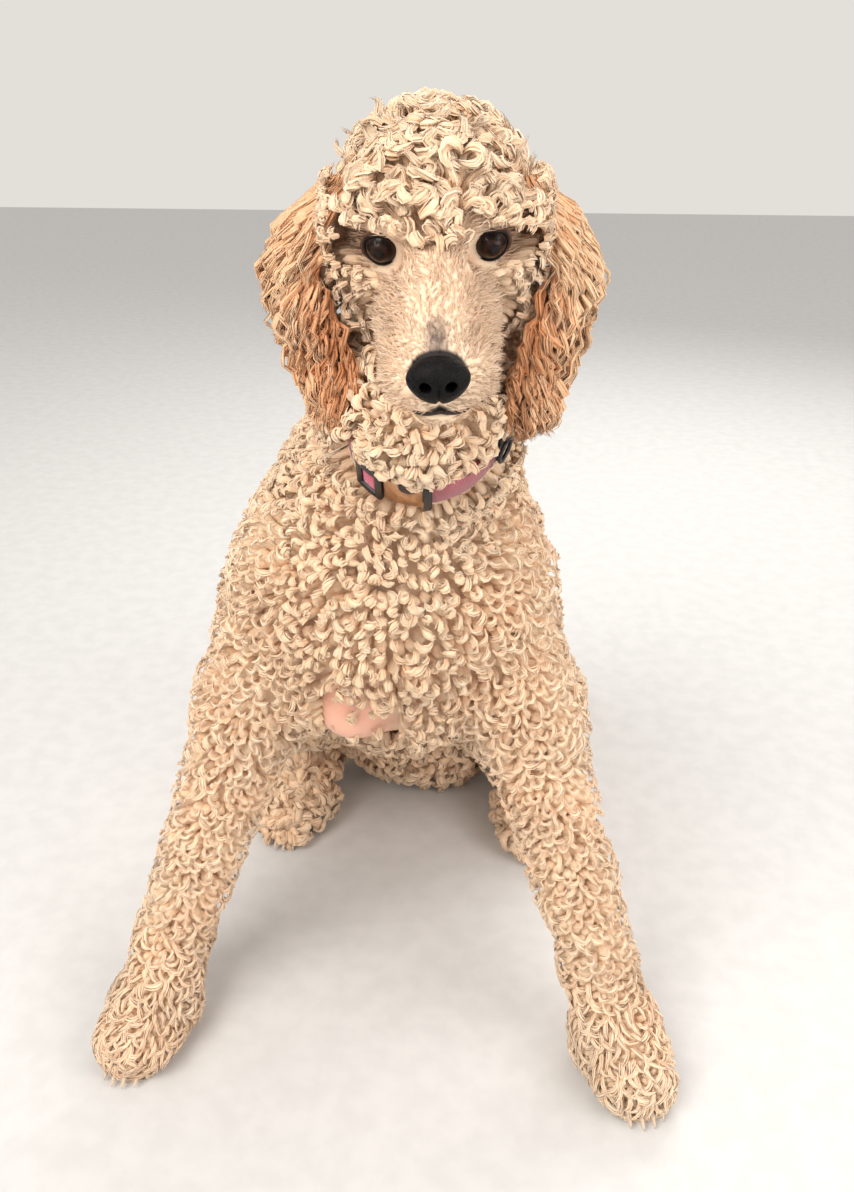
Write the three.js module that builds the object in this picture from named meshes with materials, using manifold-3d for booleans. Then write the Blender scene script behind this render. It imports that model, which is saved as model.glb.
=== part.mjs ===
// A life-size standard poodle that sits with its forelegs braced wide apart, in a curly coat and a collar.
// It faces -Y, its own left side is +X, and the origin is on the floor under the middle of its seat.
import * as THREE from "three";
import { mergeVertices } from "three/addons/utils/BufferGeometryUtils.js";
import Module from "manifold-3d";

const wasm = await Module();
wasm.setup();

// Driving dimensions, in millimetres and degrees
const GAP = 0.3; // between pieces that touch
const HAIR_SEED = 20731;
const HEAD_AT = [48.3, -410, 680]; // the point between the two eyes
const HEAD_TURN = 5.2;
const HEAD_NOD = 20.5;
const HEAD_TILT = -2.5;
const EYE_APART = 66;
const EYE_RADIUS = 11;

const LEFT = 1;
const RIGHT = -1;
const SIDES = [
  ["left", LEFT],
  ["right", RIGHT],
];

// The head's own frame has the same directions as the dog's: x to its left, y to its back, z up.
const radians = THREE.MathUtils.degToRad;
const headFrame = new THREE.Matrix4()
  .makeTranslation(...HEAD_AT)
  .multiply(new THREE.Matrix4().makeRotationZ(radians(HEAD_TURN)))
  .multiply(new THREE.Matrix4().makeRotationX(radians(HEAD_NOD)))
  .multiply(new THREE.Matrix4().makeRotationY(radians(HEAD_TILT)));
const bodyFrame = new THREE.Matrix4();

// Where the joints are in this pose
const spot = {
  withers: [4, -205, 492],
  chest: [4, -272, 398],
  ribs: [0, -172, 318],
  loin: [0, -62, 215],
  pelvis: [0, 12, 128],
  seat: [0, 6, 84],
  breastbone: [6, -340, 428],
  brisket: [4, -300, 325],
  neckBase: [10, -278, 478],
  collar: [39, -372, 562],
  nape: [50, -340, 648],
};
const limb = {
  left: {
    blade: [42, -240, 470],
    shoulder: [68, -325, 412],
    elbow: [121, -331, 282],
    wrist: [192, -396, 80],
    paw: [210, -430, 27],
    toes: [222, -466, 20],
    hip: [48, 12, 140],
    knee: [116, -150, 196],
    hock: [118, 20, 66],
    hindPaw: [130, -112, 25],
    hindToes: [137, -152, 18],
  },
  right: {
    blade: [-28, -240, 460],
    shoulder: [-60, -325, 408],
    elbow: [-118, -332, 282],
    wrist: [-188, -394, 80],
    paw: [-200, -428, 27],
    toes: [-207, -466, 20],
    hip: [-48, 12, 140],
    knee: [-116, -150, 196],
    hock: [-118, 20, 66],
    hindPaw: [-130, -112, 25],
    hindToes: [-137, -152, 18],
  },
};

// The body is a row of masses, each a rod with a radius at both ends, squeezed sideways by `width`.
// `coat` is how deep the hair is over it, `clump` how far apart its curls sit, and `blend` how softly
// it runs into the masses before it.
const masses = [];
function mass(frame, from, to, rFrom, rTo, coat, { width = 1, blend = 30, clump = 102 } = {}) {
  const a = new THREE.Vector3(...from).applyMatrix4(frame);
  const b = new THREE.Vector3(...to).applyMatrix4(frame);
  const side = new THREE.Vector3(1, 0, 0).transformDirection(frame);
  masses.push({ a, along: b.sub(a), side, rFrom, rTo, width, coat, blend, clump });
}

// Trunk
mass(bodyFrame, spot.chest, spot.ribs, 122, 106, 30, { width: 0.72 });
mass(bodyFrame, spot.ribs, spot.loin, 106, 84, 30, { width: 0.82 });
mass(bodyFrame, spot.loin, spot.pelvis, 84, 82, 30, { width: 0.95 });
mass(bodyFrame, spot.pelvis, spot.seat, 80, 84, 26);
mass(bodyFrame, spot.breastbone, spot.brisket, 58, 66, 28, { width: 0.95, clump: 70 });
mass(bodyFrame, spot.withers, spot.neckBase, 50, 68, 26, { width: 0.76 });
mass(bodyFrame, spot.neckBase, spot.collar, 74, 60, 22, { width: 0.8, clump: 58 });
mass(bodyFrame, spot.collar, spot.nape, 58, 54, 17, { width: 0.86, clump: 50 });

// Limbs
for (const leg of Object.values(limb)) {
  mass(bodyFrame, leg.blade, leg.shoulder, 27, 39, 25, { clump: 64 });
  mass(bodyFrame, leg.shoulder, leg.elbow, 42, 30, 24, { clump: 56 });
  mass(bodyFrame, leg.elbow, leg.wrist, 27, 17, 19, { blend: 14, clump: 50 });
  mass(bodyFrame, leg.wrist, leg.paw, 18, 21, 16, { blend: 12, clump: 44 });
  mass(bodyFrame, leg.paw, leg.toes, 23, 18, 15, { width: 1.25, blend: 12, clump: 44 });
  mass(bodyFrame, leg.hip, leg.knee, 70, 42, 27, { width: 0.85 });
  mass(bodyFrame, leg.knee, leg.hock, 40, 22, 24, { blend: 20, clump: 64 });
  mass(bodyFrame, leg.hock, leg.hindPaw, 20, 20, 18, { blend: 12, clump: 52 });
  mass(bodyFrame, leg.hindPaw, leg.hindToes, 24, 18, 16, { width: 1.2, blend: 12, clump: 52 });
}

// Tail, which lies on the floor and curls to the dog's left
const TAIL = [
  [0, 78, 96],
  [12, 132, 50],
  [62, 172, 27],
  [128, 176, 23],
  [182, 148, 20],
];
TAIL.slice(1).forEach((end, i) =>
  mass(bodyFrame, TAIL[i], end, 17 - 2 * i, 15 - 2 * i, 24, { clump: 58 }),
);

// Head
const topknot = { coat: 40, clump: 43 };
const cheekHair = 10;
const faceHair = 4.5;
const knot = { clump: topknot.clump };
mass(headFrame, [0, 78, -22], [0, 20, 2], 41, 35, topknot.coat, { ...knot, width: 1.1, blend: 20 });
mass(headFrame, [0, 100, -34], [0, 60, -40], 28, 36, 30, { ...knot, blend: 16 });
mass(headFrame, [0, -4, -9], [0, -100, -21], 27, 19, faceHair, { blend: 10 });
mass(headFrame, [0, 44, -50], [0, -98, -49], 20, 13, faceHair, { width: 1.15, blend: 10 });
for (const [, s] of SIDES) {
  mass(headFrame, [s * 37, 40, -14], [s * 32, -2, -20], 15, 11, cheekHair, { ...knot, blend: 10 });
  mass(headFrame, [s * 32, 52, -34], [s * 28, 10, -37], 22, 18, cheekHair, { ...knot, blend: 10 });
  mass(headFrame, [s * 20, -3, 13], [s * 36, 9, 12], 11, 9, 9, { ...knot, blend: 10 });
  mass(headFrame, [s * 17, -14, -29], [s * 13, -98, -33], 20, 17, faceHair, { blend: 8 });
  mass(headFrame, [s * 20, 40, -48], [s * 8, -84, -50], 14, 10, faceHair, { blend: 8 });
}

// Hollows are scooped out of the masses in the same way: here the sockets in front of the eyes.
const hollows = [];
function hollow(frame, from, to, rFrom, rTo, blend) {
  mass(frame, from, to, rFrom, rTo, 0, { blend });
  hollows.push(masses.pop());
}
for (const [, s] of SIDES) hollow(headFrame, [s * 30, -19, 1], [s * 46, -14, 0], 12.5, 14, 7);

// The first-order distance from a point to a mass's surface: under zero inside it.
const offset = new THREE.Vector3();
function distanceTo(m, p) {
  offset.subVectors(p, m.a);
  const t = THREE.MathUtils.clamp(offset.dot(m.along) / m.along.lengthSq(), 0, 1);
  offset.addScaledVector(m.along, -t);
  const sideways = offset.dot(m.side);
  const across = offset.lengthSq() - sideways * sideways;
  const w = m.width;
  const reach = Math.sqrt(across + (sideways / w) ** 2);
  const slope = Math.sqrt(across + (sideways / (w * w)) ** 2) || 1;
  return ((reach - m.rFrom - t * (m.rTo - m.rFrom)) * reach) / slope;
}

// The skin's distance at a point, the coat's depth there and how far apart the curls sit
const COAT_MIX = 9; // how far from a border between masses their coats mix
function skinAt(p) {
  let skin = Infinity;
  let near = Infinity;
  const each = masses.map((m) => {
    const d = distanceTo(m, p);
    const h = skin === Infinity ? 0 : Math.max(m.blend - Math.abs(skin - d), 0) / m.blend;
    skin = Math.min(skin, d) - (h * h * m.blend) / 4;
    near = Math.min(near, d);
    return d;
  });
  for (const m of hollows) {
    const d = -distanceTo(m, p);
    const h = Math.max(m.blend - Math.abs(skin - d), 0) / m.blend;
    skin = Math.max(skin, d) + (h * h * m.blend) / 4;
  }
  let weights = 0;
  let coat = 0;
  let clump = 0;
  each.forEach((d, i) => {
    const weight = Math.exp((near - d) / COAT_MIX);
    weights += weight;
    coat += weight * masses[i].coat;
    clump += weight * masses[i].clump;
  });
  return { skin, coat: coat / weights, clump: clump / weights };
}

const CORE_SHARE = 0.5; // how much of the coat's depth the solid core fills
function coreField(p) {
  const { skin, coat } = skinAt(p);
  return skin - CORE_SHARE * coat;
}

function gridLines(low, high, step) {
  const count = Math.ceil((high - low) / step);
  return Array.from({ length: count + 1 }, (_, i) => low + i * step);
}

// The closed surface on which a field is zero, on a grid given by its lines. Each sheet of it that
// crosses a cell gets one point there, and each grid edge that it crosses gets one quad.
const CELL_EDGES = [];
for (let corner = 0; corner < 8; corner++)
  for (let axis = 0; axis < 3; axis++)
    if (!((corner >> axis) & 1)) CELL_EDGES.push({ corner, axis, end: corner | (1 << axis) });
const CELL_FACES = [];
for (let axis = 0; axis < 3; axis++)
  for (const level of [0, 1]) {
    const [u, v] = [1 << ((axis + 1) % 3), 1 << ((axis + 2) % 3)];
    const base = level << axis;
    CELL_FACES.push([base, base | u, base | u | v, base | v]);
  }
const edgeBetween = (a, b) => CELL_EDGES.findIndex((e) => e.corner === (a & b) && e.end === (a | b));

function sheetsOf(inside) {
  const sheet = CELL_EDGES.map((edge, i) => i);
  const join = (a, b) => {
    const [keep, drop] = [sheet[a], sheet[b]];
    sheet.forEach((s, i) => (sheet[i] = s === drop ? keep : s));
  };
  for (const face of CELL_FACES) {
    const around = face.map((corner, i) => edgeBetween(corner, face[(i + 1) % 4]));
    const crossed = around.filter((e) => inside[CELL_EDGES[e].corner] !== inside[CELL_EDGES[e].end]);
    if (crossed.length === 2) join(...crossed);
    if (crossed.length === 4) face.forEach((c, i) => inside[c] && join(around[i], around[(i + 3) % 4]));
  }
  return sheet;
}
const sheetTable = Array.from({ length: 256 }, (_, code) =>
  sheetsOf([0, 1, 2, 3, 4, 5, 6, 7].map((corner) => ((code >> corner) & 1) === 1)),
);

function surfaceOf(field, lines) {
  const count = lines.map((l) => l.length);
  const stride = [1, count[0], count[0] * count[1]];
  const value = new Float64Array(count[0] * count[1] * count[2]);
  const eachNode = (from, margin, visit) => {
    for (let k = from; k < count[2] - margin; k++)
      for (let j = from; j < count[1] - margin; j++)
        for (let i = from; i < count[0] - margin; i++) visit([i, j, k], i + j * stride[1] + k * stride[2]);
  };
  value.fill(1);
  eachNode(1, 1, (at, id) => {
    value[id] = field(new THREE.Vector3(...at.map((n, axis) => lines[axis][n]))) || 1e-6;
  });

  const positions = [];
  const pointOf = new Map();
  const step = [0, 1, 2, 3, 4, 5, 6, 7].map((c) => [c & 1, (c >> 1) & 1, c >> 2]);
  eachNode(0, 1, (at, id) => {
    const v = step.map((s) => value[id + s[0] + s[1] * stride[1] + s[2] * stride[2]]);
    const code = v.reduce((sum, x, corner) => sum | ((x < 0 ? 1 : 0) << corner), 0);
    if (code === 0 || code === 255) return;
    const found = new Map();
    CELL_EDGES.forEach(({ corner, axis, end }, e) => {
      if (v[corner] < 0 === v[end] < 0) return;
      const sheet = sheetTable[code][e];
      if (!found.has(sheet)) {
        found.set(sheet, { sum: new THREE.Vector3(), crossings: 0, index: positions.length / 3 });
        positions.push(0, 0, 0);
      }
      const hit = at.map((n, a) => lines[a][n + step[corner][a]]);
      const t = v[corner] / (v[corner] - v[end]);
      hit[axis] = THREE.MathUtils.lerp(hit[axis], lines[axis][at[axis] + 1], t);
      const entry = found.get(sheet);
      entry.sum.add(new THREE.Vector3(...hit));
      entry.crossings++;
      pointOf.set((id * 8 + corner) * 3 + axis, entry.index);
    });
    for (const { sum, crossings, index } of found.values())
      sum.divideScalar(crossings).toArray(positions, index * 3);
  });

  const indices = [];
  eachNode(0, 1, (at, id) => {
    for (let axis = 0; axis < 3; axis++) {
      const inside = value[id] < 0;
      if (inside === value[id + stride[axis]] < 0) continue;
      const [u, v] = [(axis + 1) % 3, (axis + 2) % 3];
      const around = [
        [1, 1],
        [0, 1],
        [0, 0],
        [1, 0],
      ];
      const quad = around.map(([a, b]) => {
        const cell = id - a * stride[u] - b * stride[v];
        return pointOf.get((cell * 8 + (a << u) + (b << v)) * 3 + axis);
      });
      if (!inside) quad.reverse();
      const [q0, q1, q2, q3] = quad;
      indices.push(q0, q1, q2, q0, q2, q3);
    }
  });
  return new THREE.BufferGeometry()
    .setAttribute("position", new THREE.Float32BufferAttribute(positions, 3))
    .setIndex(indices);
}

// A closed geometry as a solid
function solidOf(geometry) {
  const bare = new THREE.BufferGeometry();
  bare.setIndex(geometry.index);
  bare.setAttribute("position", geometry.getAttribute("position"));
  const merged = mergeVertices(bare, 1e-4);
  return new wasm.Manifold(
    new wasm.Mesh({
      numProp: 3,
      vertProperties: new Float32Array(merged.attributes.position.array),
      triVerts: new Uint32Array(merged.index.array),
    }),
  );
}

const place = (geometry, frame) => solidOf(geometry.applyMatrix4(frame));

// A box given by its low and high corners in a frame, made smaller by `shrink` on every side
function boxSolid(frame, low, high, shrink = 0) {
  const size = high.map((h, i) => h - low[i] - 2 * shrink);
  const middle = high.map((h, i) => (h + low[i]) / 2);
  const at = frame.clone().multiply(new THREE.Matrix4().makeTranslation(...middle));
  return place(new THREE.BoxGeometry(...size), at);
}

function ellipsoid(frame, middle, radii, grow = 0, segments = 10, rings = 7) {
  const at = frame
    .clone()
    .multiply(new THREE.Matrix4().makeTranslation(...middle))
    .multiply(new THREE.Matrix4().makeScale(...radii.map((r) => r + grow)));
  return place(new THREE.SphereGeometry(1, segments, rings), at);
}

// A solid through a row of rings that all have the same even number of points
function loft(rings, closed = false) {
  const n = rings[0].length;
  const positions = rings.flat().flatMap((p) => [...p]);
  const indices = [];
  const quad = (a, b, c, d) => indices.push(a, b, c, a, c, d);
  rings.forEach((ring, r) => {
    if (r + 1 === rings.length && !closed) return;
    const next = ((r + 1) % rings.length) * n;
    for (let i = 0; i < n; i++) quad(r * n + i, r * n + ((i + 1) % n), next + ((i + 1) % n), next + i);
  });
  const last = (rings.length - 1) * n;
  for (let i = 0; i < n / 2 - 1 && !closed; i++) {
    quad(n - 1 - i, n - 2 - i, i + 1, i);
    quad(last + i, last + i + 1, last + n - 2 - i, last + n - 1 - i);
  }
  return new THREE.BufferGeometry()
    .setAttribute("position", new THREE.Float32BufferAttribute(positions, 3))
    .setIndex(indices);
}
// A loft may come out inside out. This turns it the right way.
function loftSolid(rings, frame = bodyFrame, closed = false) {
  const geometry = loft(rings, closed);
  const { array } = geometry.attributes.position;
  const corner = (i) => new THREE.Vector3().fromArray(array, i * 3);
  const index = geometry.index.array;
  let volume = 0;
  for (let t = 0; t < index.length; t += 3)
    volume += corner(index[t]).dot(corner(index[t + 1]).cross(corner(index[t + 2])));
  if (volume < 0) geometry.setIndex([...index].reverse());
  return place(geometry, frame);
}

function randomFrom(seed) {
  let state = seed;
  return () => {
    state = (state + 0x6d2b79f5) | 0;
    let t = Math.imul(state ^ (state >>> 15), 1 | state);
    t = (t + Math.imul(t ^ (t >>> 7), 61 | t)) ^ t;
    return ((t ^ (t >>> 14)) >>> 0) / 4294967296;
  };
}
const random = randomFrom(HAIR_SEED);
const between = (low, high) => low + (high - low) * random();

// Even roots over a solid's surface wherever `wanted` holds, as far apart as the coat says
const ROOT_TRIES = 9000;
const EVENING_ROUNDS = 4;
const BARE_UNDER = 11; // a coat thinner than this has no clumps
const NEAREST = 0.86; // the least distance between two roots, in clump spacings
function rootsOn(solid, wanted) {
  const { vertProperties, triVerts } = solid.getMesh();
  const corner = (i) => new THREE.Vector3().fromArray(vertProperties, triVerts[i] * 3);
  const areas = [];
  let total = 0;
  for (let t = 0; t < triVerts.length; t += 3) {
    const triangle = new THREE.Triangle(corner(t), corner(t + 1), corner(t + 2));
    total += triangle.getArea();
    areas.push({ triangle, upTo: total });
  }
  const tries = [];
  let next = 0;
  for (let i = 0; i < ROOT_TRIES; i++) {
    const aim = ((i + random()) / ROOT_TRIES) * total;
    while (areas[next].upTo < aim) next++;
    const { a, b, c } = areas[next].triangle;
    const [u, v] = [Math.sqrt(random()), random()];
    const point = new THREE.Vector3()
      .addScaledVector(a, 1 - u)
      .addScaledVector(b, u * (1 - v))
      .addScaledVector(c, u * v);
    const { coat, clump } = skinAt(point);
    if (coat > BARE_UNDER && wanted(point))
      tries.push({ point, coat, clump, normal: areas[next].triangle.getNormal(new THREE.Vector3()) });
  }
  const roots = [];
  let far = tries[0];
  tries.forEach((t) => (t.gap = Infinity));
  while (far) {
    const root = far;
    roots.push(root);
    far = undefined;
    for (const t of tries) {
      t.gap = Math.min(t.gap, t.point.distanceTo(root.point) / t.clump);
      if (t.gap > NEAREST && !(far && far.gap >= t.gap)) far = t;
    }
  }
  const nearest = (list, p) =>
    list.reduce((best, r) => (r.point.distanceToSquared(p) < best.point.distanceToSquared(p) ? r : best));
  for (let round = 0; round < EVENING_ROUNDS; round++) {
    const crowd = new Map(roots.map((r) => [r, []]));
    tries.forEach((t) => crowd.get(nearest(roots, t.point)).push(t));
    roots.forEach((r, i) => {
      const around = crowd.get(r);
      if (!around.length) return;
      const middle = new THREE.Vector3();
      around.forEach((t) => middle.addScaledVector(t.point, 1 / around.length));
      roots[i] = nearest(around, middle);
    });
  }
  return roots;
}

// A rounded clump of curls on the core: its root is as deep in the core as its tip is over it.
const CLUMP_REACH = 0.56; // its half width, in clump spacings
const CLUMP_LEAN = 0.22; // how far it leans down
const CLUMP_TALL = [0.9, 1.12]; // shares of the coat over the core
const CLUMP_WIDE = [0.95, 1.15];
function clumpAt({ point, coat, clump, normal }) {
  const out = normal.clone();
  out.z -= CLUMP_LEAN;
  out.normalize();
  const tall = (1 - CORE_SHARE) * coat * between(...CLUMP_TALL);
  const wide = CLUMP_REACH * clump * between(...CLUMP_WIDE);
  const turn = new THREE.Quaternion()
    .setFromUnitVectors(new THREE.Vector3(0, 1, 0), out)
    .multiply(new THREE.Quaternion().setFromAxisAngle(new THREE.Vector3(0, 1, 0), between(0, 2 * Math.PI)));
  const at = new THREE.Matrix4().compose(point, turn, new THREE.Vector3(wide, tall, wide));
  return place(new THREE.IcosahedronGeometry(1, 0), at);
}
const union = (solids) => wasm.Manifold.union(solids);
const coated = (solid, wanted) => union([solid, ...rootsOn(solid, wanted).map(clumpAt)]);

// The half-space over a plane, as [normal, distance] for a cut
function over([x, y, z], direction, shift = 0) {
  const normal = new THREE.Vector3(...direction).normalize();
  return [normal.toArray(), normal.dot(new THREE.Vector3(x, y, z)) + shift];
}
const flipped = ([normal, distance]) => [normal.map((n) => -n), -distance];
const FLOOR = [[0, 0, 1], 0];
const HEAD_CUT = [[48, -400, 603], [0, -0.36, 1]];
const WAIST_CUT = [[0, -165, 300], [0, 0.94, -0.34]];

const bodyMesh = surfaceOf(coreField, [
  gridLines(-320, 320, 36),
  gridLines(-580, 280, 37),
  [...gridLines(-60, 290, 28), ...gridLines(312, 700, 38)],
]);
// The grids are fine on the face and coarse under the coat.
const faceLines = [0, 7, 14, 21, 28, 35, 42, 50, 64, 80, 96];
const headMesh = surfaceOf(
  (p) => coreField(p.clone().applyMatrix4(headFrame)),
  [
    [...faceLines.slice(1).reverse().map((x) => -x), ...faceLines],
    [...gridLines(-140, -20, 7), ...gridLines(-10, 20, 10), ...gridLines(36, 180, 18)],
    [...gridLines(-120, -72, 12), ...gridLines(-64, 27, 7), ...gridLines(42, 120, 18)],
  ],
);
const CORE_EASE = 6; // how far a simplified core may be off the surface
const FACE_EASE = 2.2;
const always = () => true;
const EYE_CLEAR = 27; // no clump has its root this near to an eye
const eyePoints = SIDES.map(([, s]) => new THREE.Vector3((s * EYE_APART) / 2, -4, 0).applyMatrix4(headFrame));
const offTheEyes = (p) => eyePoints.every((eye) => eye.distanceTo(p) > EYE_CLEAR);
const bodyCore = solidOf(bodyMesh).simplify(CORE_EASE).trimByPlane(...flipped(over(...HEAD_CUT)));
const headCore = place(headMesh, headFrame).simplify(FACE_EASE).trimByPlane(...over(...HEAD_CUT));
let body = coated(bodyCore, always)
  .trimByPlane(...flipped(over(...HEAD_CUT, -GAP / 2)))
  .trimByPlane(...FLOOR);
let head = coated(headCore, offTheEyes).trimByPlane(...over(...HEAD_CUT, GAP / 2));

const dog = new THREE.Group();
function addNode(name, solid, colour = 0xe6cba4) {
  const [largest] = solid.decompose().sort((a, b) => b.volume() - a.volume());
  const mesh = largest.getMesh();
  const geometry = new THREE.BufferGeometry()
    .setAttribute("position", new THREE.Float32BufferAttribute(mesh.vertProperties, 3))
    .setIndex(new THREE.BufferAttribute(mesh.triVerts, 1));
  const made = new THREE.Mesh(geometry, new THREE.MeshStandardMaterial({ color: colour }));
  made.name = name;
  dog.add(made);
}

// Eyes, with a ring of lid over each ball
const EYEBALL = [EYE_RADIUS, EYE_RADIUS, EYE_RADIUS];
const EYE_OUTWARD = 13; // degrees that each eye looks aside
const LID_RING = 9.6;
const LID_THICK = 1.9;
const LID_AT = 5.4; // how far the ring sits in front of the middle of the ball
const EYES = SIDES.map(([side, s]) => {
  const frame = headFrame
    .clone()
    .multiply(new THREE.Matrix4().makeTranslation((s * EYE_APART) / 2, 0, 0))
    .multiply(new THREE.Matrix4().makeRotationZ(radians(s * EYE_OUTWARD)));
  return [side, frame];
});
for (const [side, frame] of EYES) {
  const ring = new THREE.TorusGeometry(LID_RING, LID_THICK, 4, 12).applyMatrix4(
    new THREE.Matrix4()
      .makeTranslation(0, -LID_AT, 0)
      .multiply(new THREE.Matrix4().makeScale(1.12, 1, 0.86))
      .multiply(new THREE.Matrix4().makeRotationX(radians(90))),
  );
  head = head
    .subtract(ellipsoid(frame, [0, -LID_AT - 8, 0], [10.5, 9, 8.5]))
    .add(place(ring, frame))
    .subtract(ellipsoid(frame, [0, 0, 0], EYEBALL, GAP));
  addNode(`eye_${side}`, ellipsoid(frame, [0, 0, 0], EYEBALL), 0x2b1a12);
}

// Nose
const NOSE_AT = [0, -118, -19];
const NOSE_RADII = [18.5, 12, 14];
head = head.subtract(ellipsoid(headFrame, NOSE_AT, NOSE_RADII, GAP, 12, 8));
const nostrils = SIDES.map(([, s]) => ellipsoid(headFrame, [s * 8, -129, -18], [4, 7, 4.4], 0, 6, 4));
addNode(
  "nose",
  nostrils.reduce((nose, hole) => nose.subtract(hole), ellipsoid(headFrame, NOSE_AT, NOSE_RADII, 0, 12, 8)),
  0x1c1a1a,
);

// Line of the mouth: a narrow groove round the muzzle from corner to corner
const MOUTH = [
  // middle to the back, height
  [-136, -43],
  [-112, -48],
  [-84, -47],
  [-52, -42],
  [-30, -35],
];
const MOUTH_HALF = 0.9;
const mouthOutline = [
  ...MOUTH.map(([y, z]) => [y, z + MOUTH_HALF]),
  ...MOUTH.map(([y, z]) => [y, z - MOUTH_HALF]).reverse(),
];
const mouthShape = new THREE.Shape(mouthOutline.map(([y, z]) => new THREE.Vector2(y, z)));
const slot = new THREE.ExtrudeGeometry(mouthShape, { depth: 120, bevelEnabled: false }).applyMatrix4(
  new THREE.Matrix4()
    .makeBasis(new THREE.Vector3(0, 1, 0), new THREE.Vector3(0, 0, 1), new THREE.Vector3(1, 0, 0))
    .setPosition(-60, 0, 0),
);
const mouthInner = boxSolid(headFrame, [-13, -104, -70], [13, 0, 0]);
head = head.subtract(place(slot, headFrame).subtract(mouthInner));

// Ears: a cupped leaf of skin that hangs at the side of the head, with long flat locks over it
const earFrame = new THREE.Matrix4()
  .makeTranslation(...HEAD_AT)
  .multiply(new THREE.Matrix4().makeRotationZ(radians(HEAD_TURN)));
const EAR_ROOT = 58; // the plane at the side of the head where the ear begins
const LOCK_STATIONS = [
  // share of its length, share of its width, share of its bow
  [0, 0.6, 0],
  [0.35, 1, 1],
  [0.72, 0.75, 0.4],
  [1, 0.14, 0],
];
// A flat lock that starts at `from` and falls to `to`, bowed outward on the way and facing `facing`
function lock(from, to, facing, width, thick, bow) {
  const a = new THREE.Vector3(...from);
  const b = new THREE.Vector3(...to);
  const out = new THREE.Vector3(...facing).normalize();
  const across = b.clone().sub(a).cross(out).normalize();
  const rings = LOCK_STATIONS.map(([t, taper, bend]) => {
    const middle = a.clone().lerp(b, t).addScaledVector(out, bow * bend);
    return [
      middle.clone().addScaledVector(across, (width / 2) * taper),
      middle.clone().addScaledVector(out, (thick / 2) * taper),
      middle.clone().addScaledVector(across, (-width / 2) * taper),
      middle.clone().addScaledVector(out, (-thick / 2) * taper),
    ];
  });
  return loftSolid(rings, earFrame);
}
const LEAF = [
  // height, middle to the side, middle to the back, half width, cup
  [34, 62, 40, 16, 1],
  [14, 76, 36, 30, 7],
  [-22, 86, 28, 34, 8],
  [-60, 78, 16, 30, 7],
  [-92, 68, 4, 18, 4],
];
const EAR_SPLAY = 13; // how much nearer the front edge is to the cheek
const LEAF_THICK = 5;
const LEAF_ACROSS = [-1, -0.4, 0.4, 1];
function leaf(s) {
  const rings = LEAF.map(([z, x, y, halfWidth, cup]) => {
    const aside = (u) => x - cup * u * u + EAR_SPLAY * u;
    const strip = (depth) =>
      LEAF_ACROSS.map((u) => new THREE.Vector3(s * (aside(u) + depth), y + u * halfWidth, z));
    return [...strip(LEAF_THICK / 2), ...strip(-LEAF_THICK / 2).reverse()];
  });
  return loftSolid(rings, earFrame);
}
const EAR_LOCKS = { outer: 7, inner: 2 };
function ear(s) {
  const locks = [];
  for (let i = 0; i < EAR_LOCKS.outer; i++) {
    const u = ((i + 0.5) / EAR_LOCKS.outer) * 2 - 1; // from the front edge to the back one
    const high = i % 2 ? 6 : 32;
    const from = [s * (72 - 0.3 * high + EAR_SPLAY * u), 36 + u * 28, high];
    const to = [s * (between(64, 72) + EAR_SPLAY * u), 2 + u * 34, -120 + 18 * Math.abs(u) + between(-9, 9)];
    locks.push(lock(from, to, [s, u * 0.9 - 0.3, 0.1], between(24, 31), between(14, 18), between(27, 34)));
  }
  for (let i = 0; i < EAR_LOCKS.inner; i++) {
    const u = ((i + 0.5) / EAR_LOCKS.inner) * 2 - 1;
    const from = [s * (76 + EAR_SPLAY * u), 20 + u * 22, -20];
    const to = [s * (70 + EAR_SPLAY * u), -4 + u * 22, -116 + between(-6, 6)];
    locks.push(lock(from, to, [-s, 0, 0], 24, 13, 3));
  }
  return union([leaf(s), ...locks]);
}
for (const [side, s] of SIDES) {
  const low = s > 0 ? [EAR_ROOT, -70, -160] : [-140, -70, -160];
  const high = s > 0 ? [140, 110, 40] : [-EAR_ROOT, 110, 40];
  const pocket = boxSolid(earFrame, low, high);
  head = head.subtract(pocket);
  body = body.subtract(pocket);
  addNode(`ear_${side}`, ear(s).intersect(boxSolid(earFrame, low, high, GAP)), 0xd9a066);
}
addNode("head", head);

// Collar: a webbing band in a groove of the neck's coat, with its fittings outside it
const COLLAR_AT = [38.5, -373, 566];
const COLLAR_TIP = 39; // degrees that the band hangs lower in front
const COLLAR_LEAN = 3.3;
const collarFrame = new THREE.Matrix4()
  .makeTranslation(...COLLAR_AT)
  .multiply(new THREE.Matrix4().makeRotationX(radians(COLLAR_TIP)))
  .multiply(new THREE.Matrix4().makeRotationY(radians(COLLAR_LEAN)));
const BAND = { halfWidth: 55, halfDepth: 69.5, thick: 2.6, half: 12.5, steps: 30 };

// A point of the band's ring: angle 0 is at the front, and `rise` is over the band's inner face.
function onBand(angle, rise, z) {
  const a = radians(angle);
  const across = (BAND.halfWidth + rise) * Math.sin(a);
  const front = (BAND.halfDepth + rise) * Math.cos(a);
  return new THREE.Vector3(across, -front, z);
}
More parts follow.
